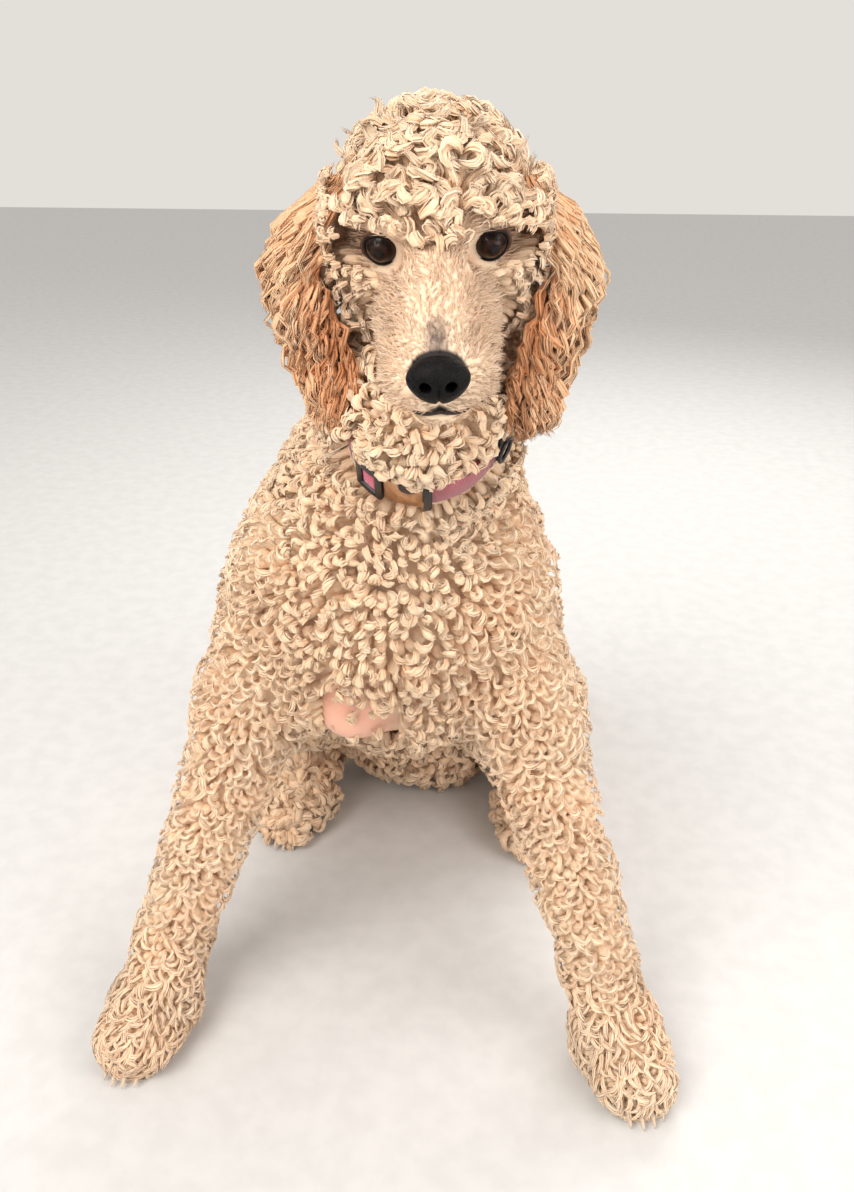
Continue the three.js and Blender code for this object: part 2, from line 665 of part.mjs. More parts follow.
// Part of the band's ring from one angle to another, between two rises and two heights
function bandPiece([from, to], [rise, top], [low, high], steps) {
  const closed = to - from >= 360;
  const rings = Array.from({ length: closed ? steps : steps + 1 }, (_, i) => {
    const angle = from + ((to - from) * i) / steps;
    return [
      onBand(angle, rise, low),
      onBand(angle, top, low),
      onBand(angle, top, high),
      onBand(angle, rise, high),
    ];
  });
  return loftSolid(rings, collarFrame, closed);
}
const ROUND = [0, 360];
const FAR = 90; // farther out than any coat
const { half } = BAND;
const tall = (more) => [-half - more, half + more]; // heights past both edges of the band
const outside = (thick) => [BAND.thick + GAP, BAND.thick + GAP + thick];
const FITTING_THICK = 5;
const DARK = 0x1c1c1e;
addNode("collar_band", bandPiece(ROUND, [0, BAND.thick], tall(0), BAND.steps), 0xb0646c);

const SLIDER = { angles: [-45, -24], past: 3, windowAngles: [-39.5, -29.5], webbingAngles: [-39, -30] };
const sliderWindow = bandPiece(SLIDER.windowAngles, [BAND.thick, FAR], tall(-SLIDER.past), 3);
const slider = bandPiece(SLIDER.angles, outside(FITTING_THICK), tall(SLIDER.past), 3);
addNode("collar_slider", slider.subtract(sliderWindow), DARK);
const webbing = bandPiece(SLIDER.webbingAngles, outside(FITTING_THICK - 2), tall(-SLIDER.past - 0.4), 2);
addNode("collar_webbing", webbing, 0xc0526a);

// The buckle's plate, with the release button let into its upper edge and a bar at its end
const PLATE = { angles: [-23.5, 3], thick: 2.2, notch: [-13, 0], notchFrom: half - 8 };
const RELEASE = { angles: [-12.6, -0.4], thick: 4, heights: [half - 7.6, half + 2] };
const notch = bandPiece(PLATE.notch, [BAND.thick, FAR], [PLATE.notchFrom, half + 4], 3);
const plate = bandPiece(PLATE.angles, outside(PLATE.thick), [-half, half - 1], 5);
addNode("collar_plate", plate.subtract(notch), 0xa8734c);
addNode("collar_release", bandPiece(RELEASE.angles, outside(RELEASE.thick), RELEASE.heights, 3), DARK);
addNode("collar_buckle", bandPiece([3.5, 9], outside(FITTING_THICK), tall(1.5), 2), DARK);

// The keeper on the dog's left, with a ring for a lead lying flat outside it
const KEEPER = { angles: [62, 70], thick: 2.5 };
const RING = { angle: 66, radius: 9, wire: 1.5, height: -2 };
addNode("collar_keeper", bandPiece(KEEPER.angles, outside(KEEPER.thick), tall(0), 2), DARK);
const ringRise = outside(KEEPER.thick)[1] + GAP + RING.wire;
const ringFrame = collarFrame
  .clone()
  .multiply(new THREE.Matrix4().makeTranslation(...onBand(RING.angle, ringRise, RING.height)))
  .multiply(new THREE.Matrix4().makeRotationZ(radians(RING.angle)))
  .multiply(new THREE.Matrix4().makeRotationX(radians(90)));
addNode("collar_ring", place(new THREE.TorusGeometry(RING.radius, RING.wire, 5, 14), ringFrame), DARK);

// The neck's groove, and the coat pressed back by the fittings and over the buckle
const groove = bandPiece(ROUND, [-GAP, FAR], tall(GAP), BAND.steps);
const PRESSED = 4; // how far past the band's edges
const OVERHANG = 7; // how far out the coat may stand over the buckle
const pressedBack = [
  bandPiece([-47, 11], [BAND.thick, FAR], tall(PRESSED), 8),
  bandPiece([52, 80], [BAND.thick, FAR], tall(PRESSED), 6),
  bandPiece([-54, 20], [OVERHANG, FAR], [half, half + 50], 8),
];
pressedBack.forEach((room) => (body = body.subtract(room)));
const upTheNeck = new THREE.Vector3(0, 0, 1).transformDirection(collarFrame);
const neckCut = (shift) => over(COLLAR_AT, upTheNeck.toArray(), shift - half - GAP / 2);
body = body.subtract(groove);
addNode("neck", body.trimByPlane(...neckCut(GAP / 2)));
body = body.trimByPlane(...flipped(neckCut(-GAP / 2)));

// The legs, tail, rump and chest are cut off the body by boxes and a plane.
function partOff(name, frame, low, high) {
  const box = boxSolid(frame, low, high);
  addNode(name, body.intersect(boxSolid(frame, low, high, GAP)));
  body = body.subtract(box);
}
const mirrored = (s, low, high) =>
  s > 0 ? [low, high] : [
    [-high[0], low[1], low[2]],
    [-low[0], high[1], high[2]],
  ];
for (const [side, s] of SIDES) {
  // The foreleg is cut by one slanted box: its inner face runs from the armpit up to the shoulder.
  const shoulderFrame = new THREE.Matrix4()
    .makeTranslation(s * 72, -331, 290)
    .multiply(new THREE.Matrix4().makeRotationY(radians(s * 22)));
  partOff(`foreleg_${side}`, shoulderFrame, ...mirrored(s, [0, -260, -420], [260, 66, 165]));
  partOff(`hind_leg_${side}`, bodyFrame, ...mirrored(s, [78, -228, -90], [260, 130, 262]));
}
partOff("tail", bodyFrame, [-60, 118, -90], [330, 330, 170]);
const [rumpSide, ribSide] = body.splitByPlane(...over(...WAIST_CUT));
addNode("rump", rumpSide.trimByPlane(...over(...WAIST_CUT, GAP / 2)));
addNode("chest", ribSide.trimByPlane(...flipped(over(...WAIST_CUT, -GAP / 2))));

export default dog;
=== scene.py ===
# A life-size standard poodle, sitting, in its curly coat and collar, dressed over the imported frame.
# Lengths are in millimetres up to mesh_from, which writes metres.
import math

import bpy
import numpy as np
from mathutils import Matrix, Vector


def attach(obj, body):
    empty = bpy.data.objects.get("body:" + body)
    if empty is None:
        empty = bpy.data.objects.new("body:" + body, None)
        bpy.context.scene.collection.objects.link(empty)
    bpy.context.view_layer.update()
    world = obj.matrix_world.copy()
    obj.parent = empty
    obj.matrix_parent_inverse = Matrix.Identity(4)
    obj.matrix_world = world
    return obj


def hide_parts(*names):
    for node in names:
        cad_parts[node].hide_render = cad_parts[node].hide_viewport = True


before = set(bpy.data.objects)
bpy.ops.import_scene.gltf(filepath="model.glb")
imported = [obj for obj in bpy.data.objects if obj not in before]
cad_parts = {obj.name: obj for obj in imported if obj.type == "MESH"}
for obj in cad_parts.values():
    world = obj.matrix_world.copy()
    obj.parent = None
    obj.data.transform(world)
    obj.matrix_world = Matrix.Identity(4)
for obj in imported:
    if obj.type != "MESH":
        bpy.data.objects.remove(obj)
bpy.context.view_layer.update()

MM = 0.001
HAIR_SEED = 20731

# Driving dimensions, as in the part's source
HEAD_AT = (48.3, -410, 680)
HEAD_TURN = 5.2
HEAD_NOD = 20.5
HEAD_TILT = -2.5
EYE_APART = 66
EYE_RADIUS = 11
EYE_OUTWARD = 13
COLLAR_AT = (38.5, -373, 566)
COLLAR_TIP = 39
COLLAR_LEAN = 3.3
BAND = {"across": 55, "deep": 69.5, "thick": 2.6, "half": 12.5}
SIDES = (("left", 1), ("right", -1))

# Body: how softly the coat's depth changes from one part to the next, and the swollen, thinly haired breast
COAT_MIX = 9.0
SWELL_AT = (-24, -346, 305)
SWELL_RADIUS = 33
SWELL_BLEND = 18
BARE_AT, BARE_RADII = (-24, -354, 304), (38, 44, 42)

# Head: the line of the mouth (how far back, and its height there), with its groove's depth and width, the
# cleft under the nose, the nose pad and the top of the brow
MOUTH_BACK = (-136, -112, -84, -52, -30)
MOUTH_HEIGHT = (-43, -48, -47, -42, -35)
GROOVE_DEEP, GROOVE_WIDE = 2.6, 1.5
CLEFT = 1.6
LIP_RADIUS = 1.5
NOSE_AT = np.array([0, -118, -19.0])
NOSE_RADII = np.array([18.5, 12, 14.0])
BROW_TOP = 22

# Eyes: the opening between the lids, the hair's margin round it, and how deep the clear space before it is
APERTURE = (10.9, 9.0)
EYE_MARGIN = 1.2
EYE_DEEP = 42
# Lids: how far out of the opening each ring lies, and how high over the ball or out of the face
LID_ROLL = ((1.0, -1.2), (1.0, 0.35), (1.05, 1.0), (1.16, 1.2), (1.3, 0.9))
LID_SKIRT = ((1.45, 0.2), (1.8, -0.8))
# Where a viewer stands, to whom both eyes are open under the topknot
VIEWER = (105.5, -1093.5, 773.0)

# Ears: the leaf of skin, the height of its top and of the hair's end, and how far the locks bow out
LEAF = (
    # height, middle to the side, middle to the back, half width, cup
    (-122, 66, -2, 9, 1),
    (-92, 68, 4, 18, 4),
    (-60, 78, 16, 30, 7),
    (-22, 86, 28, 34, 8),
    (14, 76, 36, 30, 7),
    (34, 62, 40, 16, 1),
)
EAR_SPLAY = 13
EAR_TOP, EAR_END = 34, -122
LEAF_END = -92
EAR_BOW = {"left": 22, "right": 28}
EAR_LOCKS = 340
EAR_LOCK_LONG = (34, 66)
EAR_LOCK_WIDE = (2.4, 4.2)

# The space between a grid's lines: on the head, the nose, the body and the coat's outer surface
HEAD_GRID = 2.2
NOSE_GRID = 0.75
BODY_GRID = 7
COAT_GRID = 8
# Nothing of the dog reaches lower than this
LOWEST_SKIN = 1.0
LOWEST_HAIR = 0.6

# Hair: the space between tufts on the crown, the cheeks, under them, on the face and beside the collar
TOPKNOT_GAP = 7.8
CHEEK_GAP = 5.4
CHEEK_PUFF_GAP = 6.2
FACE_GAP = 2.55
COLLAR_GAP = 7.2
# Random places tried for each one that is kept
TRIES = 5
# The longest hair of the face, and how far below its tip a curl of the body or a foreleg may start
FACE_LONGEST = 14
RINGLET_DEEP = 20
LEG_CURL_DEEP = 18
# A puff's outline: how high up the coat's depth, and how wide as a share of the spacing
PUFF_HIGH = (0.0, 0.55, 0.85, 1.0)
PUFF_WIDE = (0.45, 0.56, 0.42, 0.0)
# How far a hair's shading leans to the way that its tuft grows, as light goes through a soft coat
SOFT = 0.6
# The size of a tuft's patch on the map, the width of a hair line, and how slowly lines change along a strand
PATCH = 0.003
LINE_WIDTH = 0.7
STRAND_RUN = 0.09

# Claws: length, radius and how far apart
CLAW_LONG = 13
CLAW_RADIUS = 3.2
CLAW_APART = 9.5

# Collar: the angles between which the band shows, and the hair's distance from it
OPEN_BAND = (-84, 100)
BAND_CLEAR = 0.8
# Where the coat keeps low: between which angles, only above the band or on both sides of it, how near
# to its edge, and how far it may stand out from the band's inner face
LOW_COAT = (
    (20, 95, True, 34, 7),
    (20, 95, False, 5, 3.0),
    (-54, 20, True, 50, 7),
    (-54, 20, False, 4, 2.0),
    (*OPEN_BAND, False, 1.5, -1.5),
)


def spin(axis, degrees):
    return Matrix.Rotation(math.radians(degrees), 4, axis)


head_frame = Matrix.Translation(HEAD_AT) @ spin("Z", HEAD_TURN) @ spin("X", HEAD_NOD) @ spin("Y", HEAD_TILT)
ear_frame = Matrix.Translation(HEAD_AT) @ spin("Z", HEAD_TURN)
collar_frame = Matrix.Translation(COLLAR_AT) @ spin("X", COLLAR_TIP) @ spin("Y", COLLAR_LEAN)
body_frame = Matrix.Identity(4)


def eye_frame(s):
    return head_frame @ Matrix.Translation((s * EYE_APART / 2, 0, 0)) @ spin("Z", s * EYE_OUTWARD)


def axes_of(where):
    return np.array(where.to_3x3())


def to_world(where, p):
    return np.asarray(p, float) @ axes_of(where).T + np.array(where.translation)


def to_local(where, p):
    return (np.asarray(p, float) - np.array(where.translation)) @ axes_of(where)


def unit(v):
    length = np.linalg.norm(v, axis=-1, keepdims=True)
    return v / np.where(length < 1e-9, 1, length)


def dot(a, b):
    return np.einsum("ij,ij->i", a, b)


def smooth_step(low, high, x):
    t = np.clip((x - low) / (high - low), 0, 1)
    return t * t * (3 - 2 * t)


# Where the dog's own joints lie in this pose
SPOT = {
    "withers": (4, -205, 492),
    "chest": (4, -272, 398),
    "ribs": (0, -172, 318),
    "loin": (0, -62, 215),
    "pelvis": (0, 12, 128),
    "seat": (0, 6, 84),
    "breastbone": (6, -340, 428),
    "brisket": (4, -300, 325),
    "neckBase": (10, -278, 478),
    "collar": (39, -372, 562),
    "nape": (50, -340, 648),
}


def hind_leg(s):
    return {
        "hip": (s * 48, 12, 140),
        "knee": (s * 116, -150, 196),
        "hock": (s * 118, 20, 66),
        "hindPaw": (s * 130, -112, 25),
        "hindToes": (s * 137, -152, 18),
    }


LIMB = {
    "left": {
        "blade": (42, -240, 470),
        "shoulder": (68, -325, 412),
        "elbow": (121, -331, 282),
        "wrist": (192, -396, 80),
        "paw": (210, -430, 27),
        "toes": (222, -466, 20),
        **hind_leg(1),
    },
    "right": {
        "blade": (-28, -240, 460),
        "shoulder": (-60, -325, 408),
        "elbow": (-118, -332, 282),
        "wrist": (-188, -394, 80),
        "paw": (-200, -428, 27),
        "toes": (-207, -466, 20),
        **hind_leg(-1),
    },
}
TAIL = ((0, 78, 96), (12, 132, 50), (62, 172, 27), (128, 176, 23), (182, 148, 20))

masses = []


class Mass:
    """A rod with a radius at both ends, squeezed sideways by `width`, under a coat of some depth.

    The region names whose coat it is, and `blend` is how softly it joins what it meets.
    """

    def __init__(self, where, a, b, r_from, r_to, coat, region, width=1.0, blend=30.0):
        self.a = to_world(where, a)
        self.along = to_world(where, b) - self.a
        self.side = axes_of(where)[:, 0]
        self.r_from, self.r_to, self.width = r_from, r_to, width
        self.coat, self.region, self.blend = coat, region, blend

    def distance(self, p):
        o = p - self.a
        t = np.clip(o @ self.along / (self.along @ self.along), 0, 1)
        o = o - t[:, None] * self.along
        sideways = o @ self.side
        across = np.maximum(dot(o, o) - sideways**2, 0)
        reach = np.sqrt(across + (sideways / self.width) ** 2)
        slope = np.sqrt(across + (sideways / self.width**2) ** 2)
        return (reach - self.r_from - t * (self.r_to - self.r_from)) * reach / np.where(slope == 0, 1, slope)


def mass(*args, **kind):
    masses.append(Mass(*args, **kind))


# Trunk: from, to, the radii, the coat's depth, the region and the width
for a, b, r_from, r_to, coat, region, width in (
    ("chest", "ribs", 122, 106, 30, "chest", 0.72),
    ("ribs", "loin", 106, 84, 30, "ribs", 0.82),
    ("loin", "pelvis", 84, 82, 30, "rump", 0.95),
    ("pelvis", "seat", 80, 84, 26, "rump", 1.0),
    ("breastbone", "brisket", 58, 66, 28, "chest", 0.95),
    ("withers", "neckBase", 50, 68, 26, "ribs", 0.76),
    ("neckBase", "collar", 74, 60, 22, "chest", 0.8),
    ("collar", "nape", 58, 54, 17, "neck", 0.86),
):
    mass(body_frame, SPOT[a], SPOT[b], r_from, r_to, coat, region, width)

# Limbs: the same, and how softly each part joins
for side, leg in LIMB.items():
    fore, hind = f"foreleg_{side}", f"hind_leg_{side}"
    for a, b, r_from, r_to, coat, region, width, blend in (
        ("blade", "shoulder", 27, 39, 25, "chest", 1.0, 30),
        ("shoulder", "elbow", 42, 30, 24, fore, 1.0, 30),
        ("elbow", "wrist", 27, 17, 19, fore, 1.0, 14),
        ("wrist", "paw", 18, 21, 16, fore, 1.0, 12),
        ("paw", "toes", 23, 18, 15, fore, 1.25, 12),
        ("hip", "knee", 70, 42, 27, hind, 0.85, 30),
        ("knee", "hock", 40, 22, 24, hind, 1.0, 20),
        ("hock", "hindPaw", 20, 20, 18, hind, 1.0, 12),
        ("hindPaw", "hindToes", 24, 18, 16, hind, 1.2, 12),
    ):
        mass(body_frame, leg[a], leg[b], r_from, r_to, coat, region, width, blend)

# Tail
for i, end in enumerate(TAIL[1:]):
    mass(body_frame, TAIL[i], end, 17 - 2 * i, 15 - 2 * i, 24, "tail")

# Head, in its own frame, with the depths of its coats
TOPKNOT, CHEEK, FACE = 40, 10, 4.5
mass(head_frame, (0, 78, -22), (0, 20, 2), 41, 35, TOPKNOT, "topknot", 1.1, 20)
mass(head_frame, (0, 100, -34), (0, 60, -40), 28, 36, 30, "topknot", blend=16)
mass(head_frame, (0, -4, -9), (0, -100, -21), 27, 19, FACE, "face", blend=10)
mass(head_frame, (0, 44, -50), (0, -98, -49), 20, 13, FACE, "face", 1.15, 10)
for _, s in SIDES:
    mass(head_frame, (s * 37, 40, -14), (s * 32, -2, -20), 15, 11, CHEEK, "cheek", blend=10)
    mass(head_frame, (s * 32, 52, -34), (s * 28, 10, -37), 22, 18, CHEEK, "cheek", blend=10)
    mass(head_frame, (s * 20, -3, 13), (s * 36, 9, 12), 11, 9, 9, "cheek", blend=10)
    mass(head_frame, (s * 17, -14, -29), (s * 13, -98, -33), 20, 17, FACE, "face", blend=8)
    mass(head_frame, (s * 20, 40, -48), (s * 8, -84, -50), 14, 10, FACE, "face", blend=8)
sockets = [Mass(head_frame, (s * 30, -19, 1), (s * 46, -14, 0), 12.5, 14, 0, "", blend=7) for _, s in SIDES]
coat_of = np.array([m.coat for m in masses], float)


def distances(p):
    return np.stack([m.distance(p) for m in masses])


def melt(a, b, blend):
    """The shape of two fields together, with the seam between them filled over `blend`."""
    h = np.maximum(blend - np.abs(a - b), 0) / blend
    return np.minimum(a, b) - h * h * blend / 4


def carve(a, b, blend):
    """The first field's shape without the second one's, with a rounded edge."""
    return -melt(-a, b, blend)


def skin_from(each, p):
    skin = each[0]
    for d, m in zip(each[1:], masses[1:]):
        skin = melt(skin, d, m.blend)
    for m in sockets:
        skin = carve(skin, m.distance(p), m.blend)
    return skin


def mix_of(each):
    weight = np.exp((each.min(axis=0) - each) / COAT_MIX)
    return weight / weight.sum(axis=0)


def skin_field(p):
    swell = np.linalg.norm(p - np.array(SWELL_AT), axis=1) - SWELL_RADIUS
    return melt(skin_from(distances(p), p), swell, SWELL_BLEND)


def coat_field(p):
    each = distances(p)
    return skin_from(each, p) - coat_of @ mix_of(each)


def face_field(p):
    """The skin with the groove of the mouth, the cleft under the nose and the chin's slope."""
    skin = skin_field(p)
    q = to_local(head_frame, p)
    near = (np.abs(q[:, 0]) < 60) & (q[:, 1] < -22) & (q[:, 2] < 10) & (q[:, 2] > -80)
    if not near.any():
        return skin
    x, y, z = q[near].T
    f = skin[near]
    off = np.abs(z - np.interp(y, MOUTH_BACK, MOUTH_HEIGHT))
    deep = GROOVE_DEEP * smooth_step(-26, -44, y)
    f = f + deep * np.exp(-((off / GROOVE_WIDE) ** 2))
    cleft = np.exp(-((x / CLEFT) ** 2)) * smooth_step(-104, -112, y) * smooth_step(-22, -28, z)
    f = f + CLEFT * cleft * smooth_step(-48, -44, z)
    skin[near] = f
    return skin


def gradient(field, p, step=0.4):
    axes = np.eye(3) * step
    return np.stack([field(p + a) - field(p - a) for a in axes], axis=1) / (2 * step)


def settle(field, p, rounds=3):
    """Walks points onto the surface where the field is zero."""
    for _ in range(rounds):
        g = gradient(field, p)
        p = p - (field(p) / np.maximum(dot(g, g), 0.04))[:, None] * g
    return p


BLOCK = 8


def grid_values(field, lines):
    """The field at a grid's nodes, worked out only where a block of nodes may meet the surface."""
    count = [len(line) for line in lines]
    middles, halves = [], []
    for line in lines:
        starts = range(0, len(line), BLOCK)
        ends = [line[min(s + BLOCK, len(line) - 1)] for s in starts]
        begins = [line[s] for s in starts]
        middles.append([(a + b) / 2 for a, b in zip(begins, ends)])
        halves.append([(b - a) / 2 for a, b in zip(begins, ends)])
    centre = np.stack(np.meshgrid(*middles, indexing="ij"), -1).reshape(-1, 3)
    half = np.linalg.norm(np.stack(np.meshgrid(*halves, indexing="ij"), -1).reshape(-1, 3), axis=1)
    at_centre = field(centre)
    shape = [len(m) for m in middles]
    close = (np.abs(at_centre) < half * 1.25 + 6).reshape(shape)
    rough = at_centre.reshape(shape)
    for axis in range(3):
        close = np.repeat(close, BLOCK, axis=axis)
        rough = np.repeat(rough, BLOCK, axis=axis)
    close = close[: count[0], : count[1], : count[2]]
    value = np.where(rough[: count[0], : count[1], : count[2]] < 0, -1.0, 1.0)
    i, j, k = np.nonzero(close)
    p = np.stack([lines[0][i], lines[1][j], lines[2][k]], axis=1)
    found = np.concatenate([field(part) for part in np.array_split(p, max(1, len(p) // 200000))])
    value[i, j, k] = np.where(found == 0, 1e-6, found)
    return value


def surface_of(field, lines):
    """Points and quads of the surface where the field is zero, from a grid of lines."""
    lines = [np.asarray(line, float) for line in lines]
    value = grid_values(field, lines)
    inside = value < 0
    size = np.array(value.shape)
    cells, points, edges = [], [], []
    for axis in range(3):
        lo = [slice(None)] * 3
        hi = [slice(None)] * 3
        lo[axis], hi[axis] = slice(0, -1), slice(1, None)
        at = np.stack(np.nonzero(inside[tuple(lo)] != inside[tuple(hi)]), axis=1)
        step = np.eye(3, dtype=int)[axis]
        a, b = value[tuple(at.T)], value[tuple((at + step).T)]
        p = np.stack([lines[n][at[:, n]] for n in range(3)], axis=1)
        p[:, axis] += (lines[axis][at[:, axis] + 1] - p[:, axis]) * a / (a - b)
        u, v = np.eye(3, dtype=int)[(axis + 1) % 3], np.eye(3, dtype=int)[(axis + 2) % 3]
        around = [at - u - v, at - v, at, at - u]
        kept = np.all([(c >= 0).all(axis=1) & (c < size - 1).all(axis=1) for c in around], axis=0)
        ids = [np.ravel_multi_index(tuple(c[kept].T), value.shape) for c in around]
        cells.extend(ids)
        points.extend([p[kept]] * 4)
        quad = np.stack(ids, axis=1)
        outward = inside[tuple(at[kept].T)]
        edges.append(np.where(outward[:, None], quad, quad[:, ::-1]))
    cells, points, edges = np.concatenate(cells), np.concatenate(points), np.concatenate(edges)
    names, which = np.unique(cells, return_inverse=True)
    number = np.bincount(which)
    mean = np.stack([np.bincount(which, points[:, n]) / number for n in range(3)], axis=1)
    return mean, np.searchsorted(names, edges)


def spread(low, high, step):
    return np.linspace(low, high, int(math.ceil((high - low) / step)) + 1)


def joined(*parts):
    return np.unique(np.concatenate([np.asarray(part, float) for part in parts]))


# Making meshes
def ring_quads(count, ring, closed=False):
    """Quads from each ring of points to the next one. A closed row of rings ends at its first."""
    row = np.arange(ring)
    after = (row + 1) % ring
    start = ring * np.arange(count if closed else count - 1)[:, None]
    beyond = (start + ring) % (count * ring)
    return np.stack([start + row, start + after, beyond + after, beyond + row], axis=-1).reshape(-1, 4)


def mesh_from(name, points, quads, tris=()):
    quads, tris = np.reshape(quads, (-1, 4)).astype(int), np.reshape(tris, (-1, 3)).astype(int)
    mesh = bpy.data.meshes.new(name)
    mesh.vertices.add(len(points))
    mesh.vertices.foreach_set("co", (np.asarray(points) * MM).astype(np.float32).ravel())
    corners = np.concatenate([quads.ravel(), tris.ravel()]).astype(np.int32)
    mesh.loops.add(len(corners))
    mesh.loops.foreach_set("vertex_index", corners)
    starts = np.concatenate([np.arange(len(quads)) * 4, len(quads) * 4 + np.arange(len(tris)) * 3])
    mesh.polygons.add(len(starts))
    mesh.polygons.foreach_set("loop_start", starts.astype(np.int32))
    mesh.polygons.foreach_set("use_smooth", np.ones(len(starts), bool))
    mesh.update(calc_edges=True)
    return mesh


def add_corner_map(mesh, name, per_corner):
    mesh.uv_layers.new(name=name).data.foreach_set("uv", per_corner.astype(np.float32).ravel())


def add_map(mesh, name, per_point):
    corners = np.empty(len(mesh.loops), np.int32)
    mesh.loops.foreach_get("vertex_index", corners)
    add_corner_map(mesh, name, per_point[corners])


def add_value(mesh, name, per_point):
    layer = mesh.attributes.new(name=name, type="FLOAT", domain="POINT")
    layer.data.foreach_set("value", np.asarray(per_point, np.float32))


def piece(name, mesh, material, nodes=()):
    obj = bpy.data.objects.new(name, mesh)
    bpy.context.scene.collection.objects.link(obj)
    mesh.materials.append(material)
    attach(obj, "root")
    if nodes:
        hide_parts(*nodes)


# Materials
class Nodes:
    """A short hand for building a material's nodes."""

    def __init__(self, name):
        self.material = bpy.data.materials.new(name)
        self.material.use_nodes = True
        self.tree = self.material.node_tree
        self.shader = self.tree.nodes["Principled BSDF"]

    def add(self, kind, *sources, **settings):
        node = self.tree.nodes.new("ShaderNode" + kind)
        for key, value in settings.items():
            setattr(node, key, value)
        for socket, source in zip(node.inputs, sources):
            self.plug(source, socket)
        return node

    def plug(self, source, socket):
        if source is None:
            return
        if isinstance(source, bpy.types.NodeSocket):
            self.tree.links.new(source, socket)
        else:
            socket.default_value = source

    def paint(self, source, name="Base Color"):
        self.plug(source, self.shader.inputs[name])

    def math(self, operation, a, b=None, c=None):
        return self.add("Math", a, b, c, operation=operation).outputs[0]

    def vector(self, operation, a, b=None):
        node = self.add("VectorMath", a, b, operation=operation)
        return node.outputs["Value"] if operation == "LENGTH" else node.outputs[0]

    def ramp(self, value, low, high, to_low=0.0, to_high=1.0):
        node = self.add("MapRange", value, low, high, to_low, to_high)
        node.interpolation_type = "SMOOTHSTEP"
        return node.outputs[0]

    def mix(self, amount, a, b, blend="MIX"):
        node = self.add("Mix", data_type="RGBA", blend_type=blend)
        self.plug(amount, node.inputs["Factor"])
        for name, source in (("A", a), ("B", b)):
            self.plug(source, next(i for i in node.inputs if i.name == name and i.type == "RGBA"))
        return next(o for o in node.outputs if o.type == "RGBA")

    def between(self, value, a, b, low=0.3, high=0.7):
        """From one colour to another as a pattern's value goes from low to high."""
        return self.mix(self.ramp(value, low, high), a, b)

    def place(self):
        return self.add("TexCoord").outputs["Object"]

    def map(self, name):
        return self.add("UVMap", uv_map=name).outputs[0]

    def noise(self, vector, scale, detail=3.0, rough=0.5):
        node = self.add("TexNoise", vector)
        node.inputs["Scale"].default_value = scale
        node.inputs["Detail"].default_value = detail
        node.inputs["Roughness"].default_value = rough
        return node.outputs["Fac"]

    def attribute(self, name):
        return self.add("Attribute", attribute_name=name).outputs["Fac"]

    def bump(self, height, strength, distance):
        node = self.add("Bump")
        node.inputs["Strength"].default_value = strength
        node.inputs["Distance"].default_value = distance
        self.plug(height, node.inputs["Height"])
        self.paint(node.outputs[0], "Normal")

    def set(self, **values):
        for key, value in values.items():
            self.shader.inputs[key.replace("_", " ")].default_value = value


def colour(r, g, b):
    """A colour as it shows on a screen, from 0 to 255, as the linear one that a socket takes."""
    def linear(x):
        x /= 255
        return x / 12.92 if x <= 0.04045 else ((x + 0.055) / 1.055) ** 2.4
    return (linear(r), linear(g), linear(b), 1.0)


CREAM = colour(255, 237, 213)
APRICOT = colour(253, 217, 184)
# Painted shade, multiplied into the hair's colour towards each strand's root, deep in the coat
SHADE = colour(252, 228, 206)
STREAK = colour(244, 212, 182)
RUST = colour(246, 184, 138)
BLACK_HAIR = colour(40, 34, 34)
SMUDGE = colour(112, 98, 94)
TEAR = colour(168, 108, 74)
LIP = colour(30, 22, 22)
PINK_SKIN = colour(236, 180, 158)


def blob(nodes, q, centre, radii, soft):
    """1 inside an ellipsoid round a place in millimetres, and 0 well outside it."""
    away = nodes.vector("SUBTRACT", q, [c * MM for c in centre])
    reach = nodes.vector("LENGTH", nodes.vector("DIVIDE", away, [r * MM for r in radii]))
    return nodes.ramp(reach, 1 - soft, 1 + soft, 1.0, 0.0)


def markings(nodes, base):
    """The head's marks over a base colour: the dark hair over the nose, tear stains, lips and chin."""
    where = nodes.add("Mapping", nodes.place(), vector_type="TEXTURE")
    where.inputs["Location"].default_value = head_frame.translation * MM
    where.inputs["Rotation"].default_value = head_frame.to_euler()
    q = where.outputs[0]
    smudge = blob(nodes, q, (0, -106, 3), (8, 20, 14), 0.7)
    smudge = nodes.math("MULTIPLY", smudge, nodes.ramp(nodes.noise(q, 90), 0.3, 0.62, 0.5, 0.95))
    marks = [(smudge, SMUDGE), (blob(nodes, q, (0, -117, -17), (19.5, 13.5, 15), 0.1), BLACK_HAIR)]
    for _, s in SIDES:
        tear = blob(nodes, q, (s * 22, -19, -9), (4, 9, 11), 0.6)
        chin = blob(nodes, q, (s * 16, -106, -47), (11, 17, 8), 0.6)
        marks += [(nodes.math("MULTIPLY", tear, 0.5), TEAR), (nodes.math("MULTIPLY", chin, 0.5), APRICOT)]
    marks.append((blob(nodes, q, (0, -119, -45), (8, 12, 4.5), 0.3), LIP))
    for amount, tint in marks:
        base = nodes.mix(amount, base, tint)
    return base


